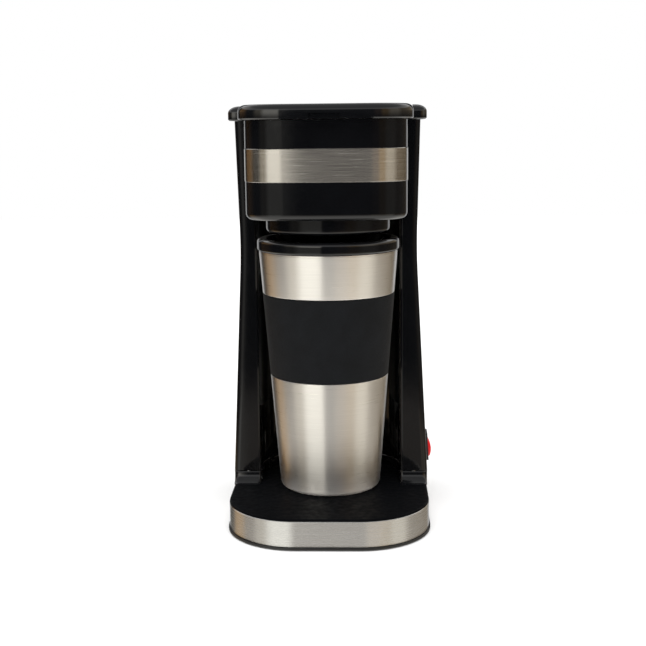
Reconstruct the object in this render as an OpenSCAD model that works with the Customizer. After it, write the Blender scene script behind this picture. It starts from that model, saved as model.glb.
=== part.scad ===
// Drip coffee maker for one travel mug: steel-banded base, tall tower with a mug niche,
// brew head with lift-out filter, hinged lid, side rocker switch and a double-wall mug.
// Millimetres. The origin is on the table under the middle of the base. +Z is up, the front faces -Y.

/* [Base] */
// Width of the base over its steel band
base_w = 130.8; // [128:0.2:146]
// Depth of the base, front to back
base_d = 160; // [156:1:180]
// Corner radius at the front of the base
base_front_r = 46; // [36:1:54]
// Corner radius at the back of the base
base_rear_r = 18; // [14:1:24]
// Height of the platform that the mug stands on
platform_h = 19.9; // [19:0.1:28]
// Height of the rounded plastic rim above the base band
rim_h = 1.4; // [1:0.1:2.4]
// Height of the base band's lower edge above the table
band_z = 2.1; // [1.8:0.1:3]
// Sheet thickness of the steel bands
band_t = 0.8; // [0.5:0.1:1.2]
// Height that the rubber feet lift the base cover
foot_lift = 1.2; // [0.8:0.1:1.6]
// Radius of a rubber foot
foot_r = 7; // [5:0.5:9]

/* [Tower] */
// Wall thickness of the large plastic mouldings
wall = 2.2; // [1.8:0.1:2.6]
// Height of the seam between the base and the tower
seam_h = 27; // [26:0.5:34]
// Radius of the hollow fillet between the platform and the pillars
foot_fillet_r = 7; // [5:0.5:8]
// Width of the tower at its foot
tower_foot_w = 130.6; // [127:0.2:130.6]
// Width of the tower at its waist
waist_w = 115.6; // [113:0.2:120]
// Height of the waist
waist_z = 177; // [150:1:200]
// Width of the tower at its top
tower_top_w = 120; // [116:0.2:124]
// Height of the tower and brew head under the lid
body_top = 260.7; // [256:0.1:280]
// Corner radius at the back of the tower
tower_rear_r = 16; // [12:1:20]
// Distance of the mug's axis behind the front of the base
mug_setback = 76.7; // [74:0.1:82]
// Distance of the pillars' front faces behind the mug's axis
pillar_setback = 2; // [0:0.5:8]
// Width of the mug niche between the pillars
niche_w = 94.4; // [94:0.2:96]
// Depth of the niche behind the mug's axis
niche_d = 52; // [50:0.5:54]
// Corner radius inside the niche
niche_r = 34; // [30:1:36]

/* [Brew head] */
// Width of the brew head
head_w = 100.8; // [99:0.2:104]
// Distance of the head's front ahead of the mug's axis
head_reach = 50; // [48:0.5:56]
// Corner radius at the front of the head
head_front_r = 25; // [18:1:30]
// Height of the head's underside
head_z = 199.7; // [198:0.1:206]
// Height of the head band's lower edge above the head's underside
head_band_rise = 23.5; // [16:0.5:28]
// Height of the head band
head_band_h = 20.2; // [14:0.2:26]
// Radius of the round outlet under the head
outlet_r = 40.2; // [39:0.2:42]
// Depth of the round outlet under the head
outlet_h = 9.9; // [8:0.1:10]
// Bore radius of the brew chamber at its mouth
chamber_r = 42; // [41.5:0.1:42.4]
// Height of the ledge that carries the basket, below the head's top
ledge_drop = 15.2; // [15:0.1:18]

/* [Lid] */
// Thickness of the lid and of the collar's arms
lid_t = 9; // [8:0.5:11]
// Width of the lid
lid_w = 109; // [107:0.5:111]
// Overhang of the lid past the head's front
lid_overhang = 4.2; // [2:0.2:6]
// Width of the collar over its arms
collar_w = 128; // [126:0.2:134]
// Radius of the lid's hinge pins
hinge_pin_r = 1.5; // [1.2:0.1:2]
// Width of the finger notch in the lid's front edge
notch_w = 18.6; // [14:0.2:24]

/* [Mug] */
// Height of the mug's steel body
mug_h = 158; // [150:0.5:158]
// Radius of the mug at its foot
mug_foot_r = 33.1; // [30:0.1:36]
// Radius of the mug under its lid
mug_top_r = 45.2; // [44:0.1:45.6]
// Height of the grip's lower edge above the mug's foot
grip_rise = 75.7; // [60:0.5:90]
// Height of the rubber grip
grip_h = 54.2; // [40:0.2:60]
// Radius of the mug lid's ring
mug_lid_r = 46.2; // [45.8:0.05:46.4]
// Height of the mug lid's ring
mug_lid_h = 7.8; // [6.8:0.1:8]
// Thickness of the mug's steel sheet
mug_t = 0.7; // [0.5:0.1:0.9]
// Air gap between the mug's two walls
mug_gap = 3; // [2:0.2:4]
// Travel of the sip closure
sip_travel = 12; // [10:0.5:12]

/* [Switch] */
// Height of the switch's middle above the seam
switch_rise = 12.5; // [12.2:0.1:40]
// Distance of the switch behind the mug's axis
switch_setback = 24; // [20:0.5:26]
// Radius of the rocker about its pivot
rocker_r = 7.7; // [7:0.1:8]
// Radius of the rocker's rounded face
rocker_face_r = 13; // [10:0.5:20]
// Swing of the rocker between off and on
rocker_swing = 24; // [18:1:26]

/* [Water path] */
// Height of the water tank's floor
tank_z = 60; // [58:1:70]
// Wall thickness of the tank
tank_t = 1.6; // [1.2:0.1:2]
// Radius of the mains cord's bore in its grommet
cord_r = 3.6; // [3:0.1:4]
// Height of the cord grommet's axis
cord_z = 38; // [36:0.5:42]
// Outer radius of the silicone hoses
hose_r = 4.5; // [4.2:0.1:4.8]
// Outer radius of the nipples that the hoses fit over
nipple_r = 3.2; // [3:0.1:3.4]
// Middle radius of the heater's bent water tube
heater_r = 46; // [45:0.5:46.5]

/* [Clearances] */
// Clearance between fixed mouldings that nest
seat_gap = 0.1; // [0.05:0.05:0.15]
// Clearance between pieces that move past each other
run_gap = 0.3; // [0.2:0.05:0.35]
// Clearance of a pin in its bore
pin_gap = 0.04; // [0.02:0.01:0.08]

/* [Hidden] */
$fn = 72;
eps = 0.05;

// Main stations along Y
mug_y = -base_d / 2 + mug_setback;
pillar_y = mug_y + pillar_setback;
niche_y = mug_y + niche_d;
rear_y = base_d / 2 - 1.6;
head_y = mug_y - head_reach;

// Half widths
base_hw = base_w / 2;
foot_hw = tower_foot_w / 2;
waist_hw = waist_w / 2;
top_hw = tower_top_w / 2;
niche_hw = niche_w / 2;
head_hw = head_w / 2;
lid_hw = lid_w / 2;
collar_hw = collar_w / 2;

// Base stack
cover_t = 2.2;
cover_top = foot_lift + cover_t;
flange_top = band_z - seat_gap;
band_top = platform_h - rim_h;
skirt_inset = band_t + seat_gap;
cavity_inset = skirt_inset + wall;
platform_under = platform_h - wall;
lip_h = 2.5;
lip_t = 1.2;
fillet_land = 0.3;

// Cover screws, feet and tower screws
screw_r = 1.4;
screw_head_r = 3.2;
screw_gap = 0.3;
rear_boss_x = 30;
cover_screw_at = [
    [-40, mug_y - 58], [40, mug_y - 58],
    [-rear_boss_x, rear_y - 8], [rear_boss_x, rear_y - 8]];
foot_at = [
    [-42, -base_d / 2 + 34], [42, -base_d / 2 + 34],
    [-45, base_d / 2 - 24], [45, base_d / 2 - 24]];
tower_screw_x = (niche_hw + foot_hw) / 2;
tower_screw_at = [[-tower_screw_x, pillar_y + 9], [tower_screw_x, pillar_y + 9]];
rear_screw_x = 18;
rear_screw_y = (niche_y + rear_y) / 2;
rear_screw_at = [[-rear_screw_x, rear_screw_y], [rear_screw_x, rear_screw_y]];
lug_top = platform_h + 3;
boss_r = 3.6;
pillar_boss_top = seam_h + 14;
rear_boss_top = cord_z - 0.5;
web_z = seam_h + lip_h + 0.2;
web_t = 2;

// Split between the tower and its rear cover, and the brackets of the tank
rear_split_y = rear_y - tower_rear_r - 2;
bracket_x = 18;
bracket_h = 12;

// Tower sides: the half width against the height, straight from foot to waist and from waist to top
waist_blend_r = 400;
side_lean = atan((foot_hw - waist_hw) / (waist_z - seam_h));

// Collar and lid
lid_z = body_top + run_gap;
lid_top = lid_z + lid_t;
hinge_z = lid_z + lid_t / 2;
hinge_y = base_d / 2 - lid_t / 2;
shower_r = 32;
shower_h = 5.2;
lid_front = head_y - lid_overhang;
lid_front_r = head_front_r + 3;
top_round = 4.5;
arm_round = 7;
deck_top = body_top - 1.9;
deck_t = 2;
deck_under = deck_top - deck_t;
arm_gap = 0.4;
lid_screw_at = [
    [-lid_hw + 7, mug_y - 20], [lid_hw - 7, mug_y - 20],
    [-lid_hw + 10, hinge_y - 22], [lid_hw - 10, hinge_y - 22]];

// Brew head stack
head_floor = head_z + wall;
head_round = 4;
head_draft = 0.25;
head_back_hw = niche_hw - run_gap;
head_step_y = pillar_y - run_gap;
head_back_y = niche_y - run_gap;
band_z0 = head_z + head_band_rise;
band_z1 = band_z0 + head_band_h;
band_proud = 0.3;
chamber_t = 2;
chamber_floor = head_floor + 2;
ledge_z = body_top - ledge_drop;
basket_top = ledge_z + 2;
basket_r = chamber_r - run_gap;
basket_cup_r = chamber_r - 2.4;
basket_foot_r = 33;
basket_z = chamber_floor + 5;
basket_t = 1.6;
drip_r = 7;
frame_z = basket_top + 0.1;
frame_floor = basket_z + basket_t + 4;
outlet_z = head_z - outlet_h;

// Spout from the riser into the chamber's mouth
riser_x = 46;
riser_y = mug_y + 46;
spout_r = 3.4;
spout_z = deck_under - spout_r - 0.2;
spout_dir = atan2(riser_y - mug_y, riser_x);
riser_reach = norm([riser_x, riser_y - mug_y]);

// Water tank
tank_hw = waist_hw - wall - 1.5;
tank_y0 = niche_y + wall + 0.5;
tank_y1 = rear_y - wall - 0.6;
tank_rear_r = tower_rear_r - wall + 0.3 - 1;
seal_t = 1;
tank_top = deck_under - seal_t;
mouth_y1 = hinge_y - lid_t / 2 - 1;
mouth_hw = tank_hw - tank_t - 2;
tank_out = [-heater_r, (tank_y0 + tank_y1) / 2 - 3];
nipple_bore = 2.2;
hose_bore = nipple_r + 0.03;
valve_z = (tank_z + 18) / 2 - 1;

// Heater
heater_z = (cover_top + platform_under) / 2 + 0.1;
heater_tube_r = 4.6;
rod_r = 3.2;
rod_mid_r = heater_r - 8.5;
leg_end = mug_y + 22;
fuse_x = rod_mid_r - heater_tube_r - 2.1;
fuse_end = mug_y + 24;
strap_t = 0.8;
strap_z = heater_z - heater_tube_r - strap_t - 0.05;
strap_angles = [-180, -125, -55, 0];
strap_r0 = rod_mid_r - 9;
strap_r1 = heater_r + 9;
bend_r = 12;

// Mug
mug_z = platform_h + 0.2;
mug_top = mug_z + mug_h;
mug_slope = (mug_top_r - mug_foot_r) / mug_h;
grip_z0 = mug_z + grip_rise;
grip_z1 = grip_z0 + grip_h;
grip_t = 1;
mug_edge_r = 3.5;
rim_z = mug_top - run_gap;
liner_z = mug_z + 6;
mug_lid_top = mug_top + mug_lid_h;
dish_z = mug_top + 2.4;
dish_t = 1.6;
plug_h = 9;
sip_r = 34;

// Switch
bezel_t = 1.8;
rocker_hw = 4.2;
rocker_face = 3.7;
switch_y = mug_y + switch_setback;
switch_z = seam_h + switch_rise;

// ---------- Shared shapes ----------

function unit(v) = v / norm(v);
function cross2(a, b) = a[0] * b[1] - a[1] * b[0];

// Points of the arc that rounds corner b between a and c
function corner_arc(a, b, c, r, n) =
    let (u = unit(a - b), v = unit(c - b),
         half = acos(max(-1, min(1, u * v))) / 2,
         centre = b + unit(u + v) * r / sin(half),
         p = b + u * r / tan(half),
         start = atan2(p[1] - centre[1], p[0] - centre[0]),
         turn = (cross2(b - a, c - b) > 0 ? 1 : -1) * (180 - 2 * half))
    [for (i = [0:n]) centre + r * [cos(start + turn * i / n), sin(start + turn * i / n)]];

// Closed outline from corners [x, y, radius], with n steps to each corner
function outline(corners, n = 6) =
    let (k = len(corners))
    [for (i = [0:k - 1])
        let (a = corners[(i + k - 1) % k], b = corners[i], c = corners[(i + 1) % k])
        each corner_arc([a[0], a[1]], [b[0], b[1]], [c[0], c[1]], b[2], n)];

function at_height(points, z) = [for (p = points) [p[0], p[1], z]];

// End of a C-shaped solid with n points to its outline, in strips from its outer to its inner side
function c_end(n) =
    [for (k = [0:n / 2 - 2])
        let (a = n / 8 + k, b = (n / 8 - 1 - k + n) % n, c = (n / 8 - 2 - k + n) % n)
        each [[a, a + 1, c], [a, c, b]]];

// Solid through a stack of outlines that have equal numbers of points
module skin(rings, c_shaped = false) {
    n = len(rings[0]);
    m = len(rings);
    points = [for (ring = rings) each ring];
    low = c_shaped ? c_end(n) : [[for (i = [0:n - 1]) i]];
    high = [for (face = low) [for (i = [len(face) - 1:-1:0]) (m - 1) * n + face[i]]];
    sides = [for (j = [0:m - 2], i = [0:n - 1])
        let (a = j * n + i, b = j * n + (i + 1) % n)
        each [[a, a + n, b + n], [a, b + n, b]]];
    polyhedron(points = points, faces = concat(low, sides, high), convexity = 8);
}

// Upright slab of a rounded outline
module slab(corners, z0, z1, n = 6)
    translate([0, 0, z0])
        linear_extrude(z1 - z0, convexity = 6)
            polygon(outline(corners, n));

// Upright rod, bored where a bore is given
module rod(r, z0, z1, bore = 0)
    translate([0, 0, z0])
        difference() {
            cylinder(r = r, h = z1 - z0);
            if (bore > 0)
                translate([0, 0, -1]) cylinder(r = bore, h = z1 - z0 + 2);
        }

// Quarter torus of a tube that turns from +Y, at the origin, up to +Z
module bend_up(r, bore)
    translate([0, 0, bend_r])
        rotate([0, 90, 0])
            rotate_extrude(angle = 90)
                translate([bend_r, 0])
                    difference() {
                        circle(r = r);
                        circle(r = bore);
                    }

module at_mug() translate([0, mug_y, 0]) children();

// Cross slot of a screw head, cut upwards from z = 0
module cross_recess(r, depth)
    for (a = [0, 90])
        rotate([0, 0, a]) translate([-r, -r / 5, -1]) cube([2 * r, r * 0.4, depth + 1]);

// Pan-head screw that points up: its shank stands above z = 0 and its head hangs below
module screw_up(head_r, head_h, shank_r, length)
    difference() {
        union() {
            translate([0, 0, -head_h]) cylinder(r = head_r, h = head_h);
            translate([0, 0, -eps]) cylinder(r = shank_r, h = length + eps);
        }
        translate([0, 0, -head_h]) cross_recess(head_r * 0.62, head_h * 0.6);
    }

function base_corners(inset) = [
    [-base_hw + inset, -base_d / 2 + inset, base_front_r - inset],
    [base_hw - inset, -base_d / 2 + inset, base_front_r - inset],
    [base_hw - inset, base_d / 2 - inset, base_rear_r - inset],
    [-base_hw + inset, base_d / 2 - inset, base_rear_r - inset]];

// C-shaped plan of the tower: hw is its half width, front its pillars' front face
function tower_corners(hw, inset = 0, front = pillar_y) = [
    [niche_hw + inset, front + inset, max(1.4 - inset, 0.4)],
    [hw - inset, front + inset, max(4 - inset, 0.8)],
    [hw - inset, rear_y - inset, tower_rear_r - inset],
    [-hw + inset, rear_y - inset, tower_rear_r - inset],
    [-hw + inset, front + inset, max(4 - inset, 0.8)],
    [-niche_hw - inset, front + inset, max(1.4 - inset, 0.4)],
    [-niche_hw - inset, niche_y + inset, niche_r + inset],
    [niche_hw + inset, niche_y + inset, niche_r + inset]];

// [half width, height] up the tower's side, rounded at the waist
function side_path(z0, z1) = concat(
    [[foot_hw + (seam_h - z0) * tan(side_lean), z0]],
    corner_arc([foot_hw, seam_h], [waist_hw, waist_z], [top_hw, body_top], waist_blend_r, 4),
    [[top_hw + (z1 - body_top) * (top_hw - waist_hw) / (body_top - waist_z), z1]]);

module tower_solid(inset, z0, z1)
    skin([for (p = side_path(z0, z1)) at_height(outline(tower_corners(p[0], inset)), p[1])], c_shaped = true);

// Plan of the brew head: full width ahead of the pillars, narrower inside the niche
function head_corners(inset, extra = 0) = [
    [-head_hw - extra + inset, head_y + inset, head_front_r - inset],
    [head_hw + extra - inset, head_y + inset, head_front_r - inset],
    [head_hw + extra - inset, head_step_y - max(inset, 0), 0.6],
    [head_back_hw - max(inset, 0), head_step_y - max(inset, 0), 0.6],
    [head_back_hw - inset, head_back_y - inset, niche_r - run_gap - inset],
    [-head_back_hw + inset, head_back_y - inset, niche_r - run_gap - inset],
    [-head_back_hw + max(inset, 0), head_step_y - max(inset, 0), 0.6],
    [-head_hw - extra + inset, head_step_y - max(inset, 0), 0.6]];

// ---------- Base ----------

module base_housing() color([0.05, 0.05, 0.06]) {
    steps = 5;
    difference() {
        union() {
            slab(base_corners(skirt_inset), foot_lift + cover_t / 2, band_top + eps, 8);
            // rounded rim over the steel band
            skin([for (i = [0:steps])
                let (a = 90 * i / steps)
                at_height(outline(base_corners(rim_h * (1 - cos(a))), 8), band_top + rim_h * sin(a))]);
        }
        slab(base_corners(cavity_inset), 0, platform_under, 8);
        // room for the flange of the bottom cover
        slab(base_corners(skirt_inset - 1), 0, flange_top + seat_gap, 8);
        // way up into the tower, bridged under the tower's screws
        difference() {
            slab(tower_corners(foot_hw - 0.3, wall), platform_under - 1, platform_h + 1);
            screw_bridges(platform_under - 2, platform_h + 2);
        }
        at_tower_screws() translate([0, 0, platform_under - 1]) cylinder(r = screw_r + screw_gap, h = wall + 2);
    }
    // bosses for the cover screws
    for (p = cover_screw_at)
        translate([p[0], p[1], 0])
            rod(boss_r, cover_top + seat_gap, platform_under + 1, screw_r + pin_gap);
    // bosses for the heater straps
    at_mug()
        for (a = strap_angles, r = [strap_r0, strap_r1])
            rotate([0, 0, a]) translate([r, 0, 0])
                rod(3, strap_z + strap_t, platform_under + 1, 1.2 + pin_gap);
}

module at_tower_screws()
    for (p = concat(tower_screw_at, rear_screw_at))
        translate([p[0], p[1], 0]) children();

// Blocks across the pillars' feet and the rear, that take the tower's screws
module screw_bridges(z0, z1) {
    for (p = tower_screw_at)
        translate([p[0] - 12, p[1] - 5, z0]) cube([24, 10, z1 - z0]);
    for (side = [0, 1])
        mirror([side, 0, 0])
            translate([rear_screw_x - 7, niche_y, z0])
                cube([rear_boss_x - rear_screw_x + 12, rear_y - niche_y, z1 - z0]);
}

// Foot of the tower on the platform, with the hollow fillet ahead of the pillars
module plinth() color([0.05, 0.05, 0.06]) {
    steps = 6;
    low_hw = base_hw - rim_h;
    fillet_front = pillar_y - foot_fillet_r;
    difference() {
        union() {
            difference() {
                skin(concat(
                    [at_height(outline(tower_corners(low_hw, 0, fillet_front)), platform_h)],
                    [for (i = [0:steps])
                        let (a = 90 * i / steps,
                             z = platform_h + fillet_land + (foot_fillet_r - fillet_land) * (1 - cos(a)),
                             hw = low_hw + (foot_hw - low_hw) * i / steps,
                             front = pillar_y - foot_fillet_r * (1 - sin(a)))
                        at_height(outline(tower_corners(hw, 0, front)), z)],
                    [at_height(outline(tower_corners(foot_hw)), seam_h)]), c_shaped = true);
                slab(tower_corners(foot_hw - 0.3, wall), platform_h - 1, seam_h + 1);
            }
            // lugs on the deck's bridges, under the tower's screws
            intersection() {
                slab(tower_corners(foot_hw, wall - 1), platform_h, lug_top);
                screw_bridges(platform_h, lug_top);
            }
            // lip that locates the tower, on a ledge inside the wall
            difference() {
                union() {
                    slab(tower_corners(foot_hw - 0.4, wall + seat_gap), seam_h - lip_h, seam_h + lip_h);
                    slab(tower_corners(foot_hw - 0.4, wall - 0.6), lug_top - eps, seam_h - lip_h + eps);
                }
                slab(tower_corners(foot_hw - 0.4, wall + seat_gap + lip_t), platform_h, seam_h + lip_h + 1);
            }
        }
        at_tower_screws() translate([0, 0, platform_h - 1]) cylinder(r = screw_r + screw_gap, h = lug_top);
    }
}

module base_band() color([0.72, 0.70, 0.66])
    difference() {
        slab(base_corners(0), band_z, band_top, 8);
        slab(base_corners(band_t), band_z - 1, band_top + 1, 8);
    }

module bottom_cover() color([0.08, 0.08, 0.08])
    difference() {
        union() {
            slab(base_corners(0.6), foot_lift, flange_top, 8);
            slab(base_corners(cavity_inset + 0.2), foot_lift, cover_top, 8);
        }
        for (p = cover_screw_at)
            translate([p[0], p[1], 0]) {
                translate([0, 0, foot_lift - 1]) cylinder(r = screw_head_r + 0.3, h = 1 + cover_t / 2);
                cylinder(r = screw_r + screw_gap, h = cover_top + 1);
            }
        for (p = foot_at)
            translate([p[0], p[1], foot_lift - 1]) cylinder(r = foot_r + seat_gap, h = 1 + cover_t / 2);
        // vent slots between the heater's legs
        for (i = [-4:4])
            translate([i * 6 - 1.1, mug_y - 12, 0]) cube([2.2, 30, cover_top + 1]);
    }

module rubber_feet() color([0.1, 0.1, 0.1])
    for (p = foot_at)
        translate([p[0], p[1], 0])
            rotate_extrude()
                polygon([[0, 0], [foot_r - 0.6, 0], [foot_r, 0.5], [foot_r, foot_lift + cover_t / 2 - eps],
                         [0, foot_lift + cover_t / 2 - eps]]);

module cover_screws() color([0.6, 0.6, 0.62])
    for (p = cover_screw_at)
        translate([p[0], p[1], foot_lift + cover_t / 2 - eps])
            screw_up(screw_head_r, cover_t / 2 - 0.2, screw_r, 10);

// ---------- Tower ----------

// Wall of the tower, t thick and set in by an inset
module tower_wall(inset, t)
    difference() {
        tower_solid(inset, seam_h + eps, body_top);
        tower_solid(inset + t, seam_h - 1, body_top + 1);
    }

// Everything behind a plane across the tower
module behind(y) translate([-base_w, y, 0]) cube([2 * base_w, base_d, 2 * body_top]);

module tower_shell() color([0.05, 0.05, 0.06])
    difference() {
        union() {
            difference() {
                tower_wall(0, wall);
                behind(rear_split_y);
            }
            // webs of the screw bosses in the pillars
            intersection() {
                tower_solid(0.4, seam_h + eps, body_top);
                for (p = tower_screw_at)
                    translate([p[0] - 12, p[1] - web_t / 2, web_z]) cube([24, web_t, 12]);
            }
            for (p = tower_screw_at)
                translate([p[0], p[1], 0]) rod(boss_r, lug_top + seat_gap, pillar_boss_top);
            // brackets behind the niche that carry the water tank
            for (x = [-bracket_x, bracket_x])
                translate([x - web_t / 2, niche_y + wall / 2, tank_z - bracket_h])
                    cube([web_t, rear_y - niche_y - wall * 1.5 - run_gap, bracket_h - seat_gap]);
        }
        for (p = tower_screw_at)
            translate([p[0], p[1], lug_top]) cylinder(r = screw_r + pin_gap, h = pillar_boss_top - lug_top - 2);
        at_switch() translate([-wall * 2, -5.4, -8.4]) cube([wall * 4, 10.8, 16.8]);
        at_riser_line(spout_z) cylinder(r = spout_r + 0.3, h = 20);
        at_head_screws() translate([0, 0, -wall * 2]) cylinder(r = screw_r + screw_gap, h = wall * 4);
    }

module rear_cover() color([0.05, 0.05, 0.06])
    difference() {
        union() {
            intersection() {
                tower_wall(0, wall);
                behind(rear_split_y + seat_gap);
            }
            // screw bosses on webs from the back wall
            for (p = rear_screw_at) {
                translate([p[0], p[1], 0]) rod(boss_r, lug_top + seat_gap, rear_boss_top);
                translate([p[0] - web_t / 2, p[1], web_z])
                    cube([web_t, rear_y - wall / 2 - p[1], rear_boss_top - web_z]);
            }
        }
        for (p = rear_screw_at)
            translate([p[0], p[1], lug_top]) cylinder(r = screw_r + pin_gap, h = rear_boss_top - lug_top - 1);
        // hole for the cord's grommet
        translate([0, rear_y - wall - 1, cord_z])
            rotate([-90, 0, 0]) cylinder(r = cord_r + 2, h = wall + 2);
    }

// Frame whose z axis runs level from the riser to the mug's axis
module at_riser_line(z)
    translate([riser_x, riser_y, z])
        rotate([0, 0, spout_dir]) rotate([0, -90, 0]) children();

// Frames on the niche's rear corners, with z pointing into the niche, on the wall's inner face
module at_head_screws()
    for (side = [-1, 1], z = [head_z + 13, head_z + 38])
        translate([side * (niche_hw - niche_r), niche_y - niche_r, z])
            rotate([0, 0, side > 0 ? 45 : 135])
                translate([niche_r + wall, 0, 0]) rotate([0, -90, 0]) children();

module tower_screws() color([0.6, 0.6, 0.62])
    at_tower_screws() translate([0, 0, platform_under - eps]) screw_up(screw_head_r, 2.2, screw_r, 18);

module head_screws() color([0.6, 0.6, 0.62])
    at_head_screws() translate([0, 0, -eps]) screw_up(screw_head_r, 2, screw_r, 9);

function arm_corners(inset) = [
    [-collar_hw + inset, mug_y - 0.5 + inset, 5 - inset * 0.5],
    [collar_hw - inset, mug_y - 0.5 + inset, 5 - inset * 0.5],
    [collar_hw - inset, base_d / 2 - inset, 8 - inset],
    [-collar_hw + inset, base_d / 2 - inset, 8 - inset]];

module top_collar() color([0.05, 0.05, 0.06]) {
    steps = 4;
    difference() {
        union() {
            difference() {
                skin(concat(
                    [at_height(outline(arm_corners(0.8)), body_top + eps)],
                    [at_height(outline(arm_corners(0)), body_top + 0.8)],
                    [for (i = [0:steps])
                        let (a = 90 * i / steps)
                        at_height(outline(arm_corners(arm_round * (1 - cos(a)))),
                                  lid_top - top_round * (1 - sin(a)))]));
                // the space between the arms, for the lid
                translate([-lid_hw - arm_gap, -base_d, body_top - 1]) cube([lid_w + 2 * arm_gap, 2 * base_d, 30]);
            }
            slab(tower_corners(top_hw - 0.1, wall + seat_gap), deck_under, body_top + eps);
        }
        // tray under the lid
        slab(tower_corners(top_hw - 0.1, wall + seat_gap + 1.6), deck_top, body_top + 1);
        // filling mouth of the tank
        slab([[-mouth_hw, tank_y0 + tank_t + 0.5, 5], [mouth_hw, tank_y0 + tank_t + 0.5, 5],
              [mouth_hw, mouth_y1, 7], [-mouth_hw, mouth_y1, 7]], deck_under - 1, deck_top + 1);
        // holes for the hinge pins
        translate([0, hinge_y, hinge_z])
            for (side = [0, 180])
                rotate([0, 0, side]) translate([lid_hw - 1, 0, 0]) rotate([0, 90, 0])
                    cylinder(r = hinge_pin_r + pin_gap / 2, h = collar_hw - lid_hw - 1);
        // room for the riser's elbow
        translate([riser_x, riser_y, deck_under - 1]) cylinder(r = hose_r + 1, h = deck_t + 5);
    }
}

module hinge_pins() color([0.7, 0.7, 0.72])
    translate([0, hinge_y, hinge_z])
        for (side = [0, 180])
            rotate([0, 0, side]) translate([lid_hw - 7, 0, 0]) rotate([0, 90, 0])
                cylinder(r = hinge_pin_r, h = collar_hw - lid_hw + 4.5);

// ---------- Brew head ----------

module head_shell() color([0.05, 0.05, 0.06]) {
    steps = 4;
    difference() {
        union() {
            difference() {
                skin(concat(
                    [for (i = [0:steps])
                        let (a = 90 * i / steps)
                        at_height(outline(head_corners(head_round * (1 - sin(a)))),
                                  head_z + head_round * (1 - cos(a)))],
                    [at_height(outline(head_corners(0, head_draft)), body_top)]));
                slab(head_corners(wall), head_floor, body_top + 1);
            }
            // bosses for the screws through the niche wall
            at_head_screws() translate([0, 0, wall + run_gap + 0.5]) cylinder(r = boss_r, h = 8);
        }
        at_head_screws() cylinder(r = screw_r + pin_gap, h = 11);
        at_mug() translate([0, 0, head_z - 1]) cylinder(r = outlet_r - 2.4, h = wall + 2);
        at_riser_line(spout_z) translate([0, 0, 2]) cylinder(r = spout_r + 0.3, h = 18);
        // groove of the steel band
        difference() {
            slab(head_corners(-2), band_z0 - seat_gap, band_z1 + seat_gap);
            slab(head_corners(0.5 + seat_gap), band_z0 - 1, band_z1 + 1);
            translate([-base_w, head_step_y - 0.6, band_z0 - 1]) cube([2 * base_w, base_d, head_band_h + 2]);
        }
    }
}

module head_band() color([0.72, 0.70, 0.66])
    difference() {
        slab(head_corners(-band_proud), band_z0, band_z1);
        slab(head_corners(band_t - band_proud), band_z0 - 1, band_z1 + 1);
        translate([-base_w, head_step_y - 0.7, band_z0 - 1]) cube([2 * base_w, base_d, head_band_h + 2]);
    }

module brew_chamber() color([0.1, 0.1, 0.1])
    difference() {
        union() {
            at_mug() rod(chamber_r + chamber_t, head_floor, body_top - 0.2);
            slab(head_corners(wall + 0.2), body_top - 2, body_top - 0.2);
        }
        at_mug() {
            translate([0, 0, ledge_z]) cylinder(r = chamber_r, h = 30);
            translate([0, 0, chamber_floor]) cylinder(r = chamber_r - 1.6, h = 60);
            translate([0, 0, head_floor - 1]) cylinder(r = drip_r, h = 5);
        }
        at_riser_line(spout_z) translate([0, 0, 2]) cylinder(r = spout_r + 0.1, h = 26);
    }

module outlet_ring() color([0.07, 0.07, 0.07])
    at_mug()
        rotate_extrude()
            polygon(concat(
                [[4, outlet_z + 0.6], [outlet_r - 3, outlet_z]],
                corner_arc([outlet_r - 3, outlet_z], [outlet_r, outlet_z], [outlet_r, head_z], 2.6, 5),
                [[outlet_r, head_z - eps], [outlet_r - 2, head_z - eps], [outlet_r - 2, outlet_z + 3],
                 [outlet_r - 4, outlet_z + 2.2], [drip_r + 1, outlet_z + 1.8], [drip_r + 1, outlet_z + 4],
                 [drip_r - 1, outlet_z + 4], [4, outlet_z + 2]]));

module filter_basket() color([0.12, 0.12, 0.12])
    at_mug() {
        rotate_extrude()
            polygon([[2.2, basket_z - 5.5], [4.5, basket_z - 5.5], [5.5, basket_z], [basket_foot_r, basket_z],
                     [basket_cup_r - 0.4, ledge_z - 2], [basket_cup_r - 0.4, ledge_z + eps],
                     [basket_r, ledge_z + eps], [basket_r, basket_top], [basket_cup_r - 2, basket_top],
                     [basket_cup_r - 2, ledge_z - 2], [basket_foot_r - basket_t, basket_z + basket_t],
                     [2.2, basket_z + basket_t]]);
        // finger tabs on the rim
        for (a = [0, 180])
            rotate([0, 0, a])
                intersection() {
                    rod(basket_r - 0.2, basket_top - eps, basket_top + 3.5, basket_r - 2.4);
                    translate([30, -7, basket_top - 1]) cube([20, 14, 6]);
                }
    }

// Half width of the basket's inside at height z
function basket_in(z) = basket_foot_r - basket_t
    + (basket_cup_r - 2 - basket_foot_r + basket_t) * (z - basket_z - basket_t) / (ledge_z - 2 - basket_z - basket_t);

module filter_frame() color([0.15, 0.15, 0.15])
    at_mug() {
        rod(basket_cup_r - 0.6, frame_z, frame_z + 1.6, basket_cup_r - 6);
        rod(basket_in(frame_floor) - 0.6, frame_floor, frame_floor + 1.6, basket_in(frame_floor) - 6);
        for (a = [30:60:330])
            rotate([90, 0, a]) translate([0, 0, -0.8])
                linear_extrude(1.6)
                    polygon([[basket_in(frame_floor) - 2, frame_floor + 1.5],
                             [basket_in(frame_floor) - 0.6, frame_floor + 1.5],
                             [basket_cup_r - 3, ledge_z - 2], [basket_cup_r - 3, frame_z + 0.1],
                             [basket_cup_r - 4.2, frame_z + 0.1], [basket_cup_r - 4.2, ledge_z - 2]]);
    }

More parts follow.
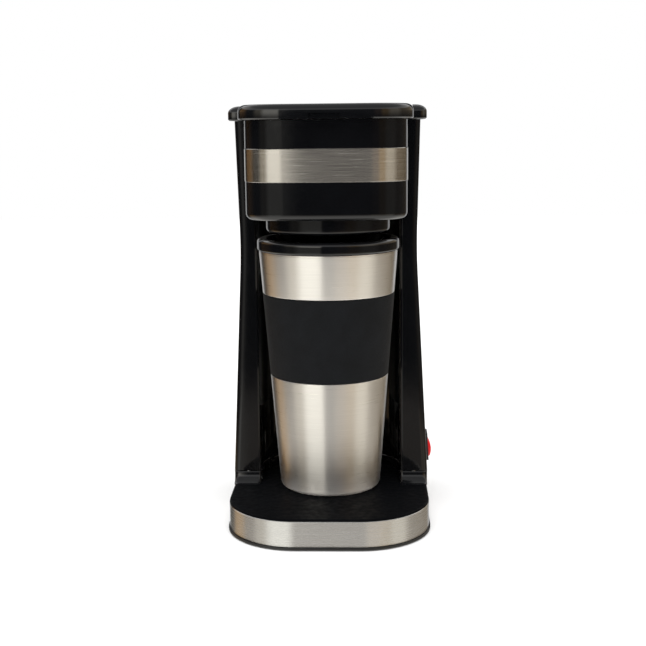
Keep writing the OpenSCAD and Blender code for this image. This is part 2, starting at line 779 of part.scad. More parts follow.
module filter_mesh() color([0.75, 0.73, 0.6])
    at_mug()
        rotate_extrude()
            polygon([[0, frame_floor + 1.65], [basket_in(frame_floor) - 2.1, frame_floor + 1.65],
                     [basket_cup_r - 4.3, ledge_z - 2], [basket_cup_r - 4.3, frame_z - 0.1],
                     [basket_cup_r - 4.8, frame_z - 0.1], [basket_cup_r - 4.8, ledge_z - 2],
                     [basket_in(frame_floor) - 2.6, frame_floor + 2.15], [0, frame_floor + 2.15]]);

// ---------- Water path ----------

function tank_corners(inset) = [
    [-tank_hw + inset, tank_y0 + inset, 3 - inset], [tank_hw - inset, tank_y0 + inset, 3 - inset],
    [tank_hw - inset, tank_y1 - inset, tank_rear_r - inset], [-tank_hw + inset, tank_y1 - inset, tank_rear_r - inset]];

module water_tank() color([0.85, 0.88, 0.9, 0.6])
    difference() {
        union() {
            slab(tank_corners(0), tank_z, tank_top);
            translate([tank_out[0], tank_out[1], 0]) rod(nipple_r, tank_z - 9, tank_z + eps);
        }
        slab(tank_corners(tank_t), tank_z + tank_t, tank_top + 1);
        translate([tank_out[0], tank_out[1], tank_z - 10]) cylinder(r = nipple_bore, h = 20);
    }

module tank_seal() color([0.7, 0.7, 0.68])
    difference() {
        slab(tank_corners(0), tank_top + 0.02, deck_under - 0.02);
        slab(tank_corners(tank_t), tank_top - 1, deck_under + 1);
    }

module check_valve() color([0.9, 0.9, 0.88])
    translate([tank_out[0], tank_out[1], 0]) {
        rod(6, valve_z - 4, valve_z + 4, 2);
        rod(nipple_r, valve_z + 3.9, valve_z + 10, 2);
        rod(nipple_r, valve_z - 10, valve_z - 3.9, 2);
    }

module inlet_hose() color([0.85, 0.85, 0.82]) {
    // from the valve up to the tank
    translate([tank_out[0], tank_out[1], 0]) rod(hose_r, valve_z + 4.1, tank_z - 0.1, hose_bore);
    // from the heater's left leg back and up to the valve
    translate([-heater_r, 0, heater_z])
        rotate([-90, 0, 0]) rod(hose_r, leg_end + 0.2, tank_out[1] - bend_r, hose_bore);
    translate([-heater_r, tank_out[1] - bend_r, heater_z]) bend_up(hose_r, hose_bore);
    translate([tank_out[0], tank_out[1], 0]) rod(hose_r, heater_z + bend_r, valve_z - 4.1, hose_bore);
}

module riser_hose() color([0.85, 0.85, 0.82]) {
    translate([heater_r, 0, heater_z])
        rotate([-90, 0, 0]) rod(hose_r, leg_end + 0.2, riser_y - bend_r, hose_bore);
    translate([heater_r, riser_y - bend_r, heater_z]) bend_up(hose_r, hose_bore);
    translate([riser_x, riser_y, 0]) rod(hose_r, heater_z + bend_r, spout_z - 6, hose_bore);
}

module spout_elbow() color([0.88, 0.88, 0.86])
    difference() {
        union() {
            translate([riser_x, riser_y, 0]) {
                rod(nipple_r, spout_z - 14, spout_z - 5);
                rod(hose_r, spout_z - 5.9, spout_z + 2);
            }
            at_riser_line(spout_z) cylinder(r = spout_r, h = riser_reach - chamber_r - 0.3);
        }
        translate([riser_x, riser_y, spout_z - 15]) cylinder(r = nipple_bore, h = 15);
        at_riser_line(spout_z) translate([0, 0, -0.8]) cylinder(r = nipple_bore + 0.3, h = riser_reach);
    }

module hose_clamps() color([0.65, 0.65, 0.66]) {
    clamp_r = hose_r + 0.9;
    for (z = [valve_z + 7, tank_z - 4, valve_z - 7])
        translate([tank_out[0], tank_out[1], z]) rod(clamp_r, -1.5, 1.5, hose_r + 0.02);
    translate([riser_x, riser_y, spout_z - 10]) rod(clamp_r, -1.5, 1.5, hose_r + 0.02);
    for (side = [-1, 1])
        translate([side * heater_r, leg_end + 5, heater_z])
            rotate([-90, 0, 0]) rod(clamp_r, -1.5, 1.5, hose_r + 0.02);
}

// ---------- Heater and wiring ----------

// U-shaped run about the mug's axis: half a ring in front and two straight legs to the back
module u_run(mid_r, reach) {
    translate([0, mug_y, heater_z]) rotate([0, 0, 180]) rotate_extrude(angle = 180) translate([mid_r, 0]) children();
    for (side = [0, 1])
        mirror([side, 0, 0])
            translate([mid_r, mug_y - eps, heater_z])
                rotate([-90, 0, 0]) linear_extrude(reach - mug_y + eps) children();
}

module heater_body() color([0.78, 0.78, 0.8])
    difference() {
        union() {
            u_run(heater_r, leg_end) circle(r = heater_tube_r);
            u_run(rod_mid_r, leg_end) circle(r = heater_tube_r);
            u_run((heater_r + rod_mid_r) / 2, leg_end) square([heater_r - rod_mid_r, 5], center = true);
            u_run(heater_r, leg_end + 10) circle(r = nipple_r);
            // cast pad for the thermostat
            translate([-9, mug_y - rod_mid_r, heater_z - 3.2]) cube([18, 22, 2]);
        }
        u_run(heater_r, leg_end + 12) circle(r = nipple_bore);
        u_run(rod_mid_r, leg_end + 12) circle(r = rod_r + pin_gap);
    }

module heating_rod() color([0.5, 0.5, 0.5]) {
    u_run(rod_mid_r, leg_end + 3) circle(r = rod_r);
    for (side = [-1, 1])
        translate([side * rod_mid_r, leg_end + 2.9, heater_z])
            rotate([-90, 0, 0]) cylinder(r = 1.2, h = 7);
}

module heater_straps() color([0.7, 0.7, 0.7])
    at_mug()
        for (a = strap_angles)
            rotate([0, 0, a])
                difference() {
                    translate([strap_r0 - 4, -4, strap_z]) cube([strap_r1 - strap_r0 + 8, 8, strap_t]);
                    for (r = [strap_r0, strap_r1])
                        translate([r, 0, strap_z - 1]) cylinder(r = 1.4, h = 3);
                }

module heater_screws() color([0.6, 0.6, 0.62])
    at_mug()
        for (a = strap_angles, r = [strap_r0, strap_r1])
            rotate([0, 0, a]) translate([r, 0, strap_z - eps]) screw_up(2.4, 1.2, 1.2, 8);

module thermostat() color([0.2, 0.2, 0.2])
    translate([0, mug_y - rod_mid_r + 13, heater_z - 1.2 + 0.02]) {
        cylinder(r = 8, h = 5);
        for (side = [-1, 1])
            translate([side * 5 - 1.6, -1.5, 4.9]) cube([3.2, 8, 0.8]);
    }

module thermal_fuses() color([0.9, 0.88, 0.8])
    for (side = [-1, 1])
        translate([side * fuse_x, fuse_end - 20, heater_z])
            rotate([-90, 0, 0]) {
                translate([0, 0, 3]) cylinder(r = 2, h = 14);
                cylinder(r = 0.6, h = 20);
            }

module terminal_block() color([0.92, 0.92, 0.9])
    difference() {
        translate([-12, tank_y0 + 4, cover_top + eps]) cube([24, 12, 11]);
        for (x = [-7, 0, 7])
            translate([x, tank_y0 + 10, cover_top + 5]) cylinder(r = 2, h = 8);
    }

// Round wire through points, swept with a six-sided section that stays level with the path
module wire(path, r) {
    k = len(path);
    function dir(i) = unit(path[min(i + 1, k - 1)] - path[max(i - 1, 0)]);
    function side(i) = let (d = dir(i), s = cross(d, abs(d[2]) > 0.9 ? [0, 1, 0] : [0, 0, 1])) unit(s);
    rings = [for (i = [0:k - 1])
        let (s = side(i), t = cross(s, dir(i)))
        [for (a = [0:60:300]) path[i] + r * (cos(a) * s + sin(a) * t)]];
    skin(rings);
}

module lead_wires() color([0.85, 0.85, 0.85]) {
    drop_x = tower_screw_x - 1;
    under = cover_top + 1.3;
    back = tank_y0 + 3.8;
    // switch to the right-hand fuse, passing under the riser
    wire([[drop_x, switch_y, switch_z - 13], [drop_x, switch_y + 1, seam_h - 5],
          [drop_x, switch_y + 6, 12], [52, switch_y + 8, 5.5], [43, switch_y + 9, under],
          [36, switch_y + 8, 5.5], [fuse_x + 1, switch_y + 4, 8.5],
          [fuse_x, fuse_end + 0.2, heater_z]], 1);
    // left-hand fuse to the terminal block
    wire([[-fuse_x, fuse_end + 0.2, heater_z], [-fuse_x + 2, fuse_end + 7, 9.5], [-20, 40, 8],
          [-9, back - 6, 9], [-7, back, 9]], 1);
    // terminal block to the switch, passing under the riser
    wire([[7, back, 9], [9, back - 8, 9], [24, 40, 8], [36, 36, 5.5], [44, 36, under],
          [52, 34, 6], [drop_x, 32, 12], [drop_x, switch_y + 7, seam_h - 5],
          [drop_x, switch_y + 3.5, switch_z - 13]], 1);
}

module cord_grommet() color([0.08, 0.08, 0.08])
    translate([0, 0, cord_z])
        rotate([-90, 0, 0])
            difference() {
                union() {
                    translate([0, 0, rear_y - wall - 7]) cylinder(r = cord_r + 1.9, h = wall + 7.1);
                    translate([0, 0, rear_y - wall - 1.7]) cylinder(r = cord_r + 3.2, h = 1.6);
                    translate([0, 0, rear_y + 0.02]) cylinder(r = cord_r + 4, h = 1.5);
                }
                translate([0, 0, rear_y - 20]) cylinder(r = cord_r, h = 40);
            }

// ---------- Switch ----------

// Frame on the outside of the right-hand wall, with x pointing out of the wall
module at_switch()
    translate([foot_hw - (switch_z - seam_h) * tan(side_lean), switch_y, switch_z])
        rotate([0, -side_lean, 0]) children();

module switch_housing() color([0.1, 0.1, 0.1])
    at_switch()
        difference() {
            union() {
                translate([0.05, -6.2, -9.4]) cube([bezel_t - 0.05, 12.4, 18.8]);
                translate([-8.5, -5.2, -8.2 - eps]) cube([8.6, 10.4, 16.4 + 2 * eps]);
                for (z = [-4, 4])
                    translate([-11, -2, z - 0.4]) cube([2.6, 4, 0.8]);
            }
            // well of the rocker, round about its pivot
            rotate([90, 0, 0])
                translate([0, 0, -rocker_hw - run_gap])
                    cylinder(r = rocker_r + run_gap, h = 2 * (rocker_hw + run_gap));
        }

module switch_rocker() color([0.75, 0.1, 0.12])
    at_switch()
        rotate([0, -rocker_swing / 2, 0])
            rotate([90, 0, 0])
                translate([0, 0, -rocker_hw])
                    linear_extrude(2 * rocker_hw)
                        intersection() {
                            circle(r = rocker_r);
                            translate([rocker_face - rocker_face_r, 0]) circle(r = rocker_face_r);
                            translate([-3, -rocker_r]) square(2 * rocker_r);
                        }

// ---------- Lid ----------

function lid_corners(inset, back = hinge_y, back_r = 0.4) = [
    [-lid_hw + inset, lid_front + inset, lid_front_r - inset],
    [lid_hw - inset, lid_front + inset, lid_front_r - inset],
    [lid_hw - inset, back, back_r], [-lid_hw + inset, back, back_r]];

module lid_cover() color([0.05, 0.05, 0.06]) {
    steps = 4;
    difference() {
        union() {
            skin(concat(
                [at_height(outline(lid_corners(0.8), 8), lid_z)],
                [at_height(outline(lid_corners(0), 8), lid_z + 0.8)],
                [for (i = [0:steps])
                    let (a = 90 * i / steps)
                    at_height(outline(lid_corners(top_round * (1 - cos(a))), 8), lid_top - top_round * (1 - sin(a)))]));
            // round back edge about the hinge
            translate([-lid_hw, hinge_y, hinge_z]) rotate([0, 90, 0]) cylinder(r = lid_t / 2 - eps, h = lid_w);
        }
        // hollow underneath
        slab(lid_corners(wall, hinge_y - lid_t / 2 - 1, 3), lid_z - 1, lid_top - wall, 8);
        translate([0, hinge_y, hinge_z])
            for (side = [0, 180])
                rotate([0, 0, side]) translate([lid_hw - 8, 0, 0]) rotate([0, 90, 0])
                    cylinder(r = hinge_pin_r + pin_gap, h = 10);
        // finger notch
        translate([-notch_w / 2, lid_front - 1, lid_z - 1]) cube([notch_w, 2, 4.4]);
    }
    // screw bosses
    for (p = lid_screw_at)
        translate([p[0], p[1], 0]) rod(3, lid_z + 1.8, lid_top - wall + eps, 1.2 + pin_gap);
}

module lid_liner() color([0.12, 0.12, 0.12])
    difference() {
        union() {
            slab(lid_corners(wall + 0.2, hinge_y - lid_t / 2 - 1.2, 3), lid_z + 0.2, lid_z + 1.75, 8);
            // round shower housing over the filter
            at_mug() rod(shower_r, lid_z - shower_h, lid_z + 0.3);
            // trough from the spout's mouth to the shower
            at_mug() rotate([0, 0, spout_dir])
                translate([shower_r - 4, -spout_r - 1.2, spout_z - spout_r])
                    cube([chamber_r - 0.6 - shower_r + 4, 2 * spout_r + 2.4, lid_z + 0.3 - spout_z + spout_r]);
        }
        at_mug() translate([0, 0, lid_z - shower_h - 10]) cylinder(r = shower_r - 2, h = shower_h + 10.2);
        at_mug() rotate([0, 0, spout_dir])
            translate([shower_r - 4, -spout_r, spout_z - spout_r + 1]) cube([20, 2 * spout_r, 2 * spout_r]);
        for (p = lid_screw_at)
            translate([p[0], p[1], lid_z - 2]) cylinder(r = 1.5, h = 6);
    }

module lid_seal() color([0.75, 0.75, 0.73])
    at_mug() rod(chamber_r + 3, lid_z - 0.2, lid_z + 0.18, chamber_r + 0.5);

module lid_screws() color([0.6, 0.6, 0.62])
    for (p = lid_screw_at)
        translate([p[0], p[1], lid_z + 0.15]) screw_up(2.2, 0.4, 1.2, 4.5);

module shower_plate() color([0.7, 0.7, 0.7])
    at_mug()
        difference() {
            rod(shower_r - 2 - seat_gap, lid_z - shower_h + 0.2, lid_z - shower_h + 1.2);
            for (ring = [[8, 6], [16, 10], [24, 14]], i = [1:ring[1]])
                rotate([0, 0, 360 * i / ring[1]]) translate([ring[0], 0, lid_z - shower_h - 1]) cylinder(r = 0.9, h = 3);
        }

// ---------- Mug ----------

// Radius of the mug's outside at height z
function mug_r(z) = mug_foot_r + mug_slope * (z - mug_z);

module mug_shell() color([0.75, 0.73, 0.68]) {
    foot_arc = corner_arc([26, mug_z], [mug_r(mug_z), mug_z], [mug_r(mug_z + 20), mug_z + 20], mug_edge_r, 5);
    inner_arc = corner_arc([mug_r(mug_z + 20) - mug_t, mug_z + 20], [mug_r(mug_z) - mug_t, mug_z + mug_t],
                           [26, mug_z + mug_t], mug_edge_r - mug_t, 5);
    recess = grip_t + 0.05;
    at_mug()
        rotate_extrude()
            polygon(concat(
                [[27, mug_z]], foot_arc,
                [[mug_r(grip_z0), grip_z0], [mug_r(grip_z0) - recess, grip_z0],
                 [mug_r(grip_z1) - recess, grip_z1], [mug_r(grip_z1), grip_z1],
                 [mug_r(rim_z), rim_z - 1], [mug_r(rim_z) - mug_t, rim_z - 1],
                 [mug_r(grip_z1) - mug_t, grip_z1 + 1], [mug_r(grip_z1) - mug_t - recess, grip_z1 - 1],
                 [mug_r(grip_z0) - mug_t - recess, grip_z0 + 1], [mug_r(grip_z0) - mug_t, grip_z0 - 1]],
                inner_arc, [[27, mug_z + mug_t]]));
}

module mug_floor() color([0.7, 0.68, 0.64])
    at_mug() rod(mug_foot_r - mug_edge_r - 0.4, mug_z + mug_t + 0.02, mug_z + 2 * mug_t);

module mug_liner() color([0.8, 0.79, 0.76]) {
    skin_in = mug_t + mug_gap + mug_t;
    at_mug()
        rotate_extrude()
            polygon([[0, liner_z], [mug_r(liner_z) - skin_in - 3, liner_z], [mug_r(liner_z) - skin_in + mug_t, liner_z + 3],
                     [mug_r(rim_z) - skin_in + mug_t, rim_z - 3], [mug_r(rim_z) - mug_t, rim_z - 0.9],
                     [mug_r(rim_z) - 0.1, rim_z - 0.9], [mug_r(rim_z) - 0.1, rim_z], [mug_r(rim_z) - skin_in + 1, rim_z],
                     [mug_r(rim_z) - skin_in, rim_z - 1.2], [mug_r(liner_z) - skin_in, liner_z + 3.4],
                     [mug_r(liner_z) - skin_in - 3, liner_z + mug_t], [0, liner_z + mug_t]]);
}

module mug_grip() color([0.11, 0.12, 0.13])
    at_mug()
        rotate_extrude()
            polygon([[mug_r(grip_z0) - grip_t, grip_z0 + eps], [mug_r(grip_z0) + 0.05, grip_z0 + eps],
                     [mug_r(grip_z1) + 0.05, grip_z1 - eps], [mug_r(grip_z1) - grip_t, grip_z1 - eps]]);

// Radius of the space inside the mug's mouth
plug_r = mug_r(rim_z) - 2 * mug_t - mug_gap - 1.6;

module mug_lid() color([0.05, 0.05, 0.06])
    at_mug()
        difference() {
            rotate_extrude()
                polygon(concat(
                    [[0, dish_z - dish_t], [plug_r - 2, dish_z - dish_t], [plug_r - 2, mug_top - plug_h],
                     [plug_r, mug_top - plug_h], [plug_r, mug_top - 0.6], [plug_r + 1, mug_top]],
                    corner_arc([plug_r, mug_top], [mug_lid_r, mug_top], [mug_lid_r, mug_lid_top], 1.4, 3),
                    corner_arc([mug_lid_r, mug_top], [mug_lid_r, mug_lid_top], [0, mug_lid_top], 2.6, 5),
                    corner_arc([mug_lid_r, mug_lid_top], [mug_lid_r - 6, mug_lid_top], [mug_lid_r - 7, dish_z], 1, 3),
                    [[mug_lid_r - 8, dish_z], [0, dish_z]]));
            // drip hole under the outlet
            translate([0, 0, dish_z - dish_t - 1]) cylinder(r = 4, h = 5);
            // sip opening
            translate([-5, -sip_r - 2.2, dish_z - dish_t - 1]) cube([10, 4.4, 5]);
        }

module mug_lid_seal() color([0.8, 0.8, 0.78])
    at_mug() rod(plug_r + 1, mug_top - plug_h + 2, mug_top - plug_h + 4.5, plug_r + 0.02);

module sip_slider() color([0.08, 0.08, 0.09])
    at_mug()
        difference() {
            union() {
                translate([-7.5, -sip_r - 3.2, dish_z + run_gap]) cube([15, 13, 1.4]);
                translate([-5, -sip_r + 2.5, dish_z + run_gap + 1.3]) cube([10, 4, 1.6]);
            }
            for (y = [0:2])
                translate([-6, -sip_r + 3.1 + y, dish_z + run_gap + 2.6]) cube([12, 0.4, 1]);
        }

base_housing();
base_band();
plinth();
bottom_cover();
rubber_feet();
cover_screws();
tower_shell();
rear_cover();
tower_screws();
top_collar();
hinge_pins();
head_shell();
head_band();
head_screws();
brew_chamber();
outlet_ring();
filter_basket();
filter_frame();
filter_mesh();
water_tank();
tank_seal();
inlet_hose();
check_valve();
riser_hose();
spout_elbow();
hose_clamps();
heater_body();
heating_rod();
heater_straps();
heater_screws();
thermostat();
thermal_fuses();
terminal_block();
lead_wires();
cord_grommet();
switch_housing();
switch_rocker();
lid_cover();
lid_liner();
lid_seal();
lid_screws();
shower_plate();
mug_shell();
mug_liner();
mug_floor();
mug_grip();
mug_lid();
mug_lid_seal();
sip_slider();
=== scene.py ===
"""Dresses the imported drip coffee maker: detailed outer mouldings, steel, rubber and studio."""

import math

import bmesh
import bpy
from bpy.props import FloatProperty, FloatVectorProperty, PointerProperty
from mathutils import Matrix, Vector


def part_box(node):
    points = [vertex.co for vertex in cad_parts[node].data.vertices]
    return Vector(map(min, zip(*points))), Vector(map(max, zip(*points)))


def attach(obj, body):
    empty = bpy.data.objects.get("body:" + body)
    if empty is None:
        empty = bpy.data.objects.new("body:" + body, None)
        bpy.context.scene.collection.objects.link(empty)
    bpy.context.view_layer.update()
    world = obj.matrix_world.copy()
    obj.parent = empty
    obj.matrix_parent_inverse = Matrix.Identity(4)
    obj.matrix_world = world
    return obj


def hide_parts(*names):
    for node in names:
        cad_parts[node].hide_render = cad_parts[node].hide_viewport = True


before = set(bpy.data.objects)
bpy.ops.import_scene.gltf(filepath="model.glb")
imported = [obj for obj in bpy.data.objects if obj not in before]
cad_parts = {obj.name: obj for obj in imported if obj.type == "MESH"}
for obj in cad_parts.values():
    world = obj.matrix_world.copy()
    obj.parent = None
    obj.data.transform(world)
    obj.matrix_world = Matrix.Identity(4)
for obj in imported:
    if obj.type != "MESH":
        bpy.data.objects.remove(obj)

bl_info = {
    "name": "Drip Coffee Maker",
    "version": (1, 0, 0),
    "blender": (4, 5, 0),
    "location": "View3D > Sidebar > Coffee Maker",
    "description": "Models and finishes the visible pieces of a drip coffee maker with a travel mug",
    "category": "Add Mesh",
}

MM = 0.001
SHARP_ANGLE = math.radians(35)
# Reach of a cutter past the maker, and clearance between pieces
FAR = 0.3
CLEAR = 0.1 * MM
# Roundings: of a moulding's sharp edges, of a steel band's edges, and the least one in the tower's plan
MOULD_EDGE = 0.25 * MM
BAND_EDGE = 0.25 * MM
LEAST_RADIUS = 0.4 * MM
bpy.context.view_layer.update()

BASE_LOW, BASE_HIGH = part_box("base_band")
REAR_LOW, REAR_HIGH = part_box("rear_cover")
HEAD_LOW, HEAD_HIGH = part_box("head_shell")
COLLAR_LOW, COLLAR_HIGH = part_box("top_collar")
LID_LOW, LID_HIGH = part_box("lid_cover")
SHELL_LOW, SHELL_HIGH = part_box("mug_shell")
GRIP_LOW, GRIP_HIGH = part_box("mug_grip")
CAP_LOW, CAP_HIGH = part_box("mug_lid")
OUTLET_LOW, OUTLET_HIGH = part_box("outlet_ring")
MUG_Y = (SHELL_LOW.y + SHELL_HIGH.y) / 2


# ---------- Properties ----------

def length(name, what, millimetres):
    """A length property in metres, from a default in millimetres."""
    return FloatProperty(name=name, description=what, default=millimetres * MM, precision=5,
                         unit="LENGTH")


def angle(name, what, degrees):
    """An angle property, from a default in degrees."""
    return FloatProperty(name=name, description=what, default=math.radians(degrees),
                         subtype="ANGLE")


def strength(name, what, value):
    """A brightness property."""
    return FloatProperty(name=name, description=what, default=value, min=0, subtype="UNSIGNED")


def tint(name, what, rgb):
    """A colour property."""
    return FloatVectorProperty(name=name, description=what, default=rgb, min=0, max=1,
                               subtype="COLOR")


class StudioSettings(bpy.types.PropertyGroup):
    """Camera, floor and light"""
    focal: FloatProperty(name="Focal length", description="Focal length, in millimetres",
                         default=63.53, unit="CAMERA")
    sensor: FloatProperty(name="Sensor", description="Width of the sensor, in millimetres",
                          default=36, unit="CAMERA")
    distance: length("Distance", "Level distance from the mug's axis to the camera", 741)
    height: length("Height", "Height of the camera above the table", 254.4)
    azimuth: angle("Azimuth", "How far the camera stands to the right of the front", 1.9)
    pitch: angle("Pitch", "How far the camera looks down", 9.609)
    aim_left: angle("Aim left", "How far the camera aims to the left of the mug's axis", 0.305)
    roll: angle("Roll", "Roll of the camera about its view", -0.635)
    floor_front: length("Floor front", "Distance of the floor's front edge ahead of the mug", 400)
    floor_reach: length("Floor reach", "Reach of the floor to the sides and the back", 2600)
    floor_colour: tint("Floor colour", "Colour of the floor", (0.88, 0.88, 0.88))
    dome: strength("Dome", "Brightness of the white dome round the stage", 1.0)
    panels: strength("Panels", "Brightness of the panels that gloss and steel mirror", 3.0)
    key: strength("Key", "Strength of the soft overhead light", 1.9)
    key_spread: angle("Key spread", "Angle that the overhead light covers in the sky", 50)
    key_tilt: angle("Key tilt", "Tilt of the overhead light from straight down", 12)


class BaseSettings(bpy.types.PropertyGroup):
    """Base, platform and plinth"""
    front_radius: length("Front radius", "Corner radius at the front of the base", 46)
    rear_radius: length("Rear radius", "Corner radius at the back of the base", 18)
    platform: length("Platform", "Height of the platform above the table", 19.9)
    rim: length("Rim", "Height of the rounded rim above the steel band", 1.4)
    seam: length("Seam", "Height of the seam between plinth and tower", 27)
    fillet: length("Fillet", "Radius of the hollow fillet at the pillars' feet", 7)
    # The lip is partly the bottom cover's edge and partly a dark sheet, painted shade, that fills the
    # shadow gap under the base
    lip: length("Lip", "How far the lip under the steel band stands out", 0.9)
    lip_height: length("Lip height", "Height of the lip's lower edge above the table", 0.3)
    lip_width: length("Lip width", "Width of the lip, from its outer edge inwards", 0.55)
    sheet: length("Sheet", "Thickness of the steel bands", 0.8)


class TowerSettings(bpy.types.PropertyGroup):
    """Tower, its niche and the collar"""
    foot_width: length("Foot width", "Width of the tower at its foot", 130.6)
    waist_width: length("Waist width", "Width of the tower at its waist", 115.6)
    waist_height: length("Waist height", "Height of the waist", 177)
    top_width: length("Top width", "Width of the tower at its top", 120)
    waist_blend: length("Waist blend", "Radius that rounds the waist", 400)
    pillar_front: length("Pillar front", "Place of the pillars' front faces along Y", -1.3)
    outer_radius: length("Outer radius", "Radius of the pillars' outer front edge", 4)
    inner_radius: length("Inner radius", "Radius of the pillars' inner front edge", 1.4)
    rear_radius: length("Rear radius", "Corner radius at the back of the tower", 16)
    niche_width: length("Niche width", "Width between the pillars", 94.4)
    niche_back: length("Niche back", "Place of the niche's back along Y", 48.7)
    niche_radius: length("Niche radius", "Corner radius inside the niche", 34)
    wall: length("Wall", "Thickness of the mouldings", 2.2)
    rear_split: length("Rear split", "Place of the joint with the rear cover along Y", 60.4)
    cord_hole: length("Cord hole", "Radius of the hole for the cord's inlet", 5.6)
    arm_front: length("Arm front", "Corner radius of the collar at its front", 5)
    arm_rear: length("Arm rear", "Corner radius of the collar at its back", 8)
    arm_round: length("Arm round", "Reach of the collar's upper rounding over its arms", 7)


class HeadSettings(bpy.types.PropertyGroup):
    """Brew head, lid and outlet"""
    front_radius: length("Front radius", "Corner radius at the front of the head", 25)
    bow: length("Bow", "How far the head's front face bows", 2.6)
    round_under: length("Round under", "Radius of the head's lower edge", 4)
    band_proud: length("Band proud", "How far the steel band stands proud of the head", 0.3)
    lid_width: length("Lid width", "Width of the lid", 109)
    lid_round: length("Lid round", "Radius of the lid's upper edge", 4.5)
    arm_gap: length("Arm gap", "Gap between the lid and the collar's arms", 0.4)
    lid_lead: length("Lid lead", "Rounding of the lid's lower edge", 0.8)
    notch_width: length("Notch width", "Width of the finger notch", 18.6)
    notch_height: length("Notch height", "Height of the finger notch", 3.4)


class MugSettings(bpy.types.PropertyGroup):
    """Travel mug"""
    foot_radius: length("Foot radius", "Radius of the mug at its foot", 33.1)
    top_radius: length("Top radius", "Radius of the mug under its lid", 45.2)
    foot_round: length("Foot round", "Radius of the mug's lower edge", 3.5)
    sole: length("Sole", "Radius of the opening under the mug's steel wall", 27)
    wall: length("Wall", "Thickness of the steel", 0.7)
    cap_ring: length("Cap ring", "Height of the lid's ring", 7.8)
    plug: length("Plug", "Radius of the lid's plug", 39.18)
    drip_hole: length("Drip hole", "Radius of the hole in the middle of the lid", 4)
    sip_place: length("Sip place", "Distance of the sip opening from the lid's middle", 34)
    sip_width: length("Sip width", "Width of the sip opening", 10)
    sip_depth: length("Sip depth", "Depth of the sip opening from front to back", 4.4)
    grip_depth: length("Grip depth", "Depth of the grip's recess", 1)


class SwitchSettings(bpy.types.PropertyGroup):
    """Switch in the tower's side"""
    height: length("Height", "Height of the rocker's pivot", 39.5)
    swing: angle("Swing", "Swing of the rocker between off and on", 24)
    radius: length("Radius", "Radius of the rocker about its pivot", 7.7)
    face_radius: length("Face radius", "Radius of the rocker's domed face", 13)
    reach: length("Reach", "How far the rocker's face stands out from its pivot", 3.69)
    edge: length("Edge", "Rounding of the rocker's ends", 1.2)
    depth: length("Depth", "Depth of the rocker behind its pivot", 2.8)


class FinishSettings(bpy.types.PropertyGroup):
    """Colours of the finishes"""
    gloss_black: tint("Gloss black", "Colour of the gloss mouldings", (0.0034, 0.0036, 0.0043))
    matte_black: tint("Matte black", "Colour of the satin mouldings", (0.012, 0.012, 0.013))
    band_steel: tint("Band steel", "Colour of the head's brushed band", (0.47, 0.45, 0.42))
    base_steel: tint("Base steel", "Colour of the base's brushed band", (0.56, 0.555, 0.545))
    deck_black: tint("Deck black", "Colour of the platform", (0.0022, 0.0024, 0.003))
    mug_steel: tint("Mug steel", "Colour of the mug's steel", (0.70, 0.68, 0.65))
    grip_rubber: tint("Grip rubber", "Colour of the grip", (0.0045, 0.0052, 0.0066))
    rocker_red: tint("Rocker red", "Colour of the rocker", (0.68, 0.005, 0.010))


def settings(*names):
    """The scene's groups of settings with these names."""
    return [getattr(bpy.context.scene, "maker_" + name) for name in names]


# ---------- Outlines and meshes ----------

def arc(before, corner, after, radius, steps):
    """Points of the arc that rounds a corner between its two neighbours."""
    u, v = (before - corner).normalized(), (after - corner).normalized()
    half = u.angle(v) / 2
    centre = corner + (u + v).normalized() * radius / math.sin(half)
    first = corner + u * radius / math.tan(half) - centre
    into, out_of = corner - before, after - corner
    turn = (math.pi - 2 * half) * (1 if into.x * out_of.y - into.y * out_of.x > 0 else -1)
    return [centre + Matrix.Rotation(turn * i / steps, 2) @ first for i in range(steps + 1)]


def rounded(corners, steps=12):
    """Closed outline from corners (x, y, radius)."""
    points = []
    for i, (x, y, radius) in enumerate(corners):
        before, after = corners[i - 1], corners[(i + 1) % len(corners)]
        points += arc(Vector(before[:2]), Vector((x, y)), Vector(after[:2]), radius, steps)
    return points


def at_height(points, z):
    """A flat outline as a ring at height z."""
    return [Vector((p.x, p.y, z)) for p in points]


def stacked(corners, path, steps=12):
    """Rings of a plan, a function of its inset, at pairs of (inset, height)."""
    return [at_height(rounded(corners(inset), steps), z) for inset, z in path]


def quarter(steps):
    """Cosine and sine at equal steps through a quarter turn."""
    turns = [math.pi / 2 * i / steps for i in range(steps + 1)]
    return [(math.cos(a), math.sin(a)) for a in turns]


def smooth(mesh):
    """Makes faces smooth and the steeper edges sharp."""
    mesh.shade_smooth()
    mesh.set_sharp_from_angle(angle=SHARP_ANGLE)


def new_piece(name, mesh_data):
    """An object of a bmesh."""
    mesh = bpy.data.meshes.new(name)
    bmesh.ops.recalc_face_normals(mesh_data, faces=mesh_data.faces)
    mesh_data.to_mesh(mesh)
    mesh_data.free()
    smooth(mesh)
    piece = bpy.data.objects.new(name, mesh)
    bpy.context.collection.objects.link(piece)
    return piece


def loft(name, rings, looped=False):
    """Closed skin through rings of equal length: capped at both ends, or looped to the first ring."""
    data = bmesh.new()
    rows = [[data.verts.new(p) for p in ring] for ring in rings]
    count = len(rows[0])
    for j in range(len(rows) if looped else len(rows) - 1):
        low, high = rows[j], rows[(j + 1) % len(rows)]
        for i in range(count):
            k = (i + 1) % count
            data.faces.new((low[i], low[k], high[k], high[i]))
    if not looped:
        data.faces.new(rows[0][::-1])
        data.faces.new(rows[-1])
    return new_piece(name, data)


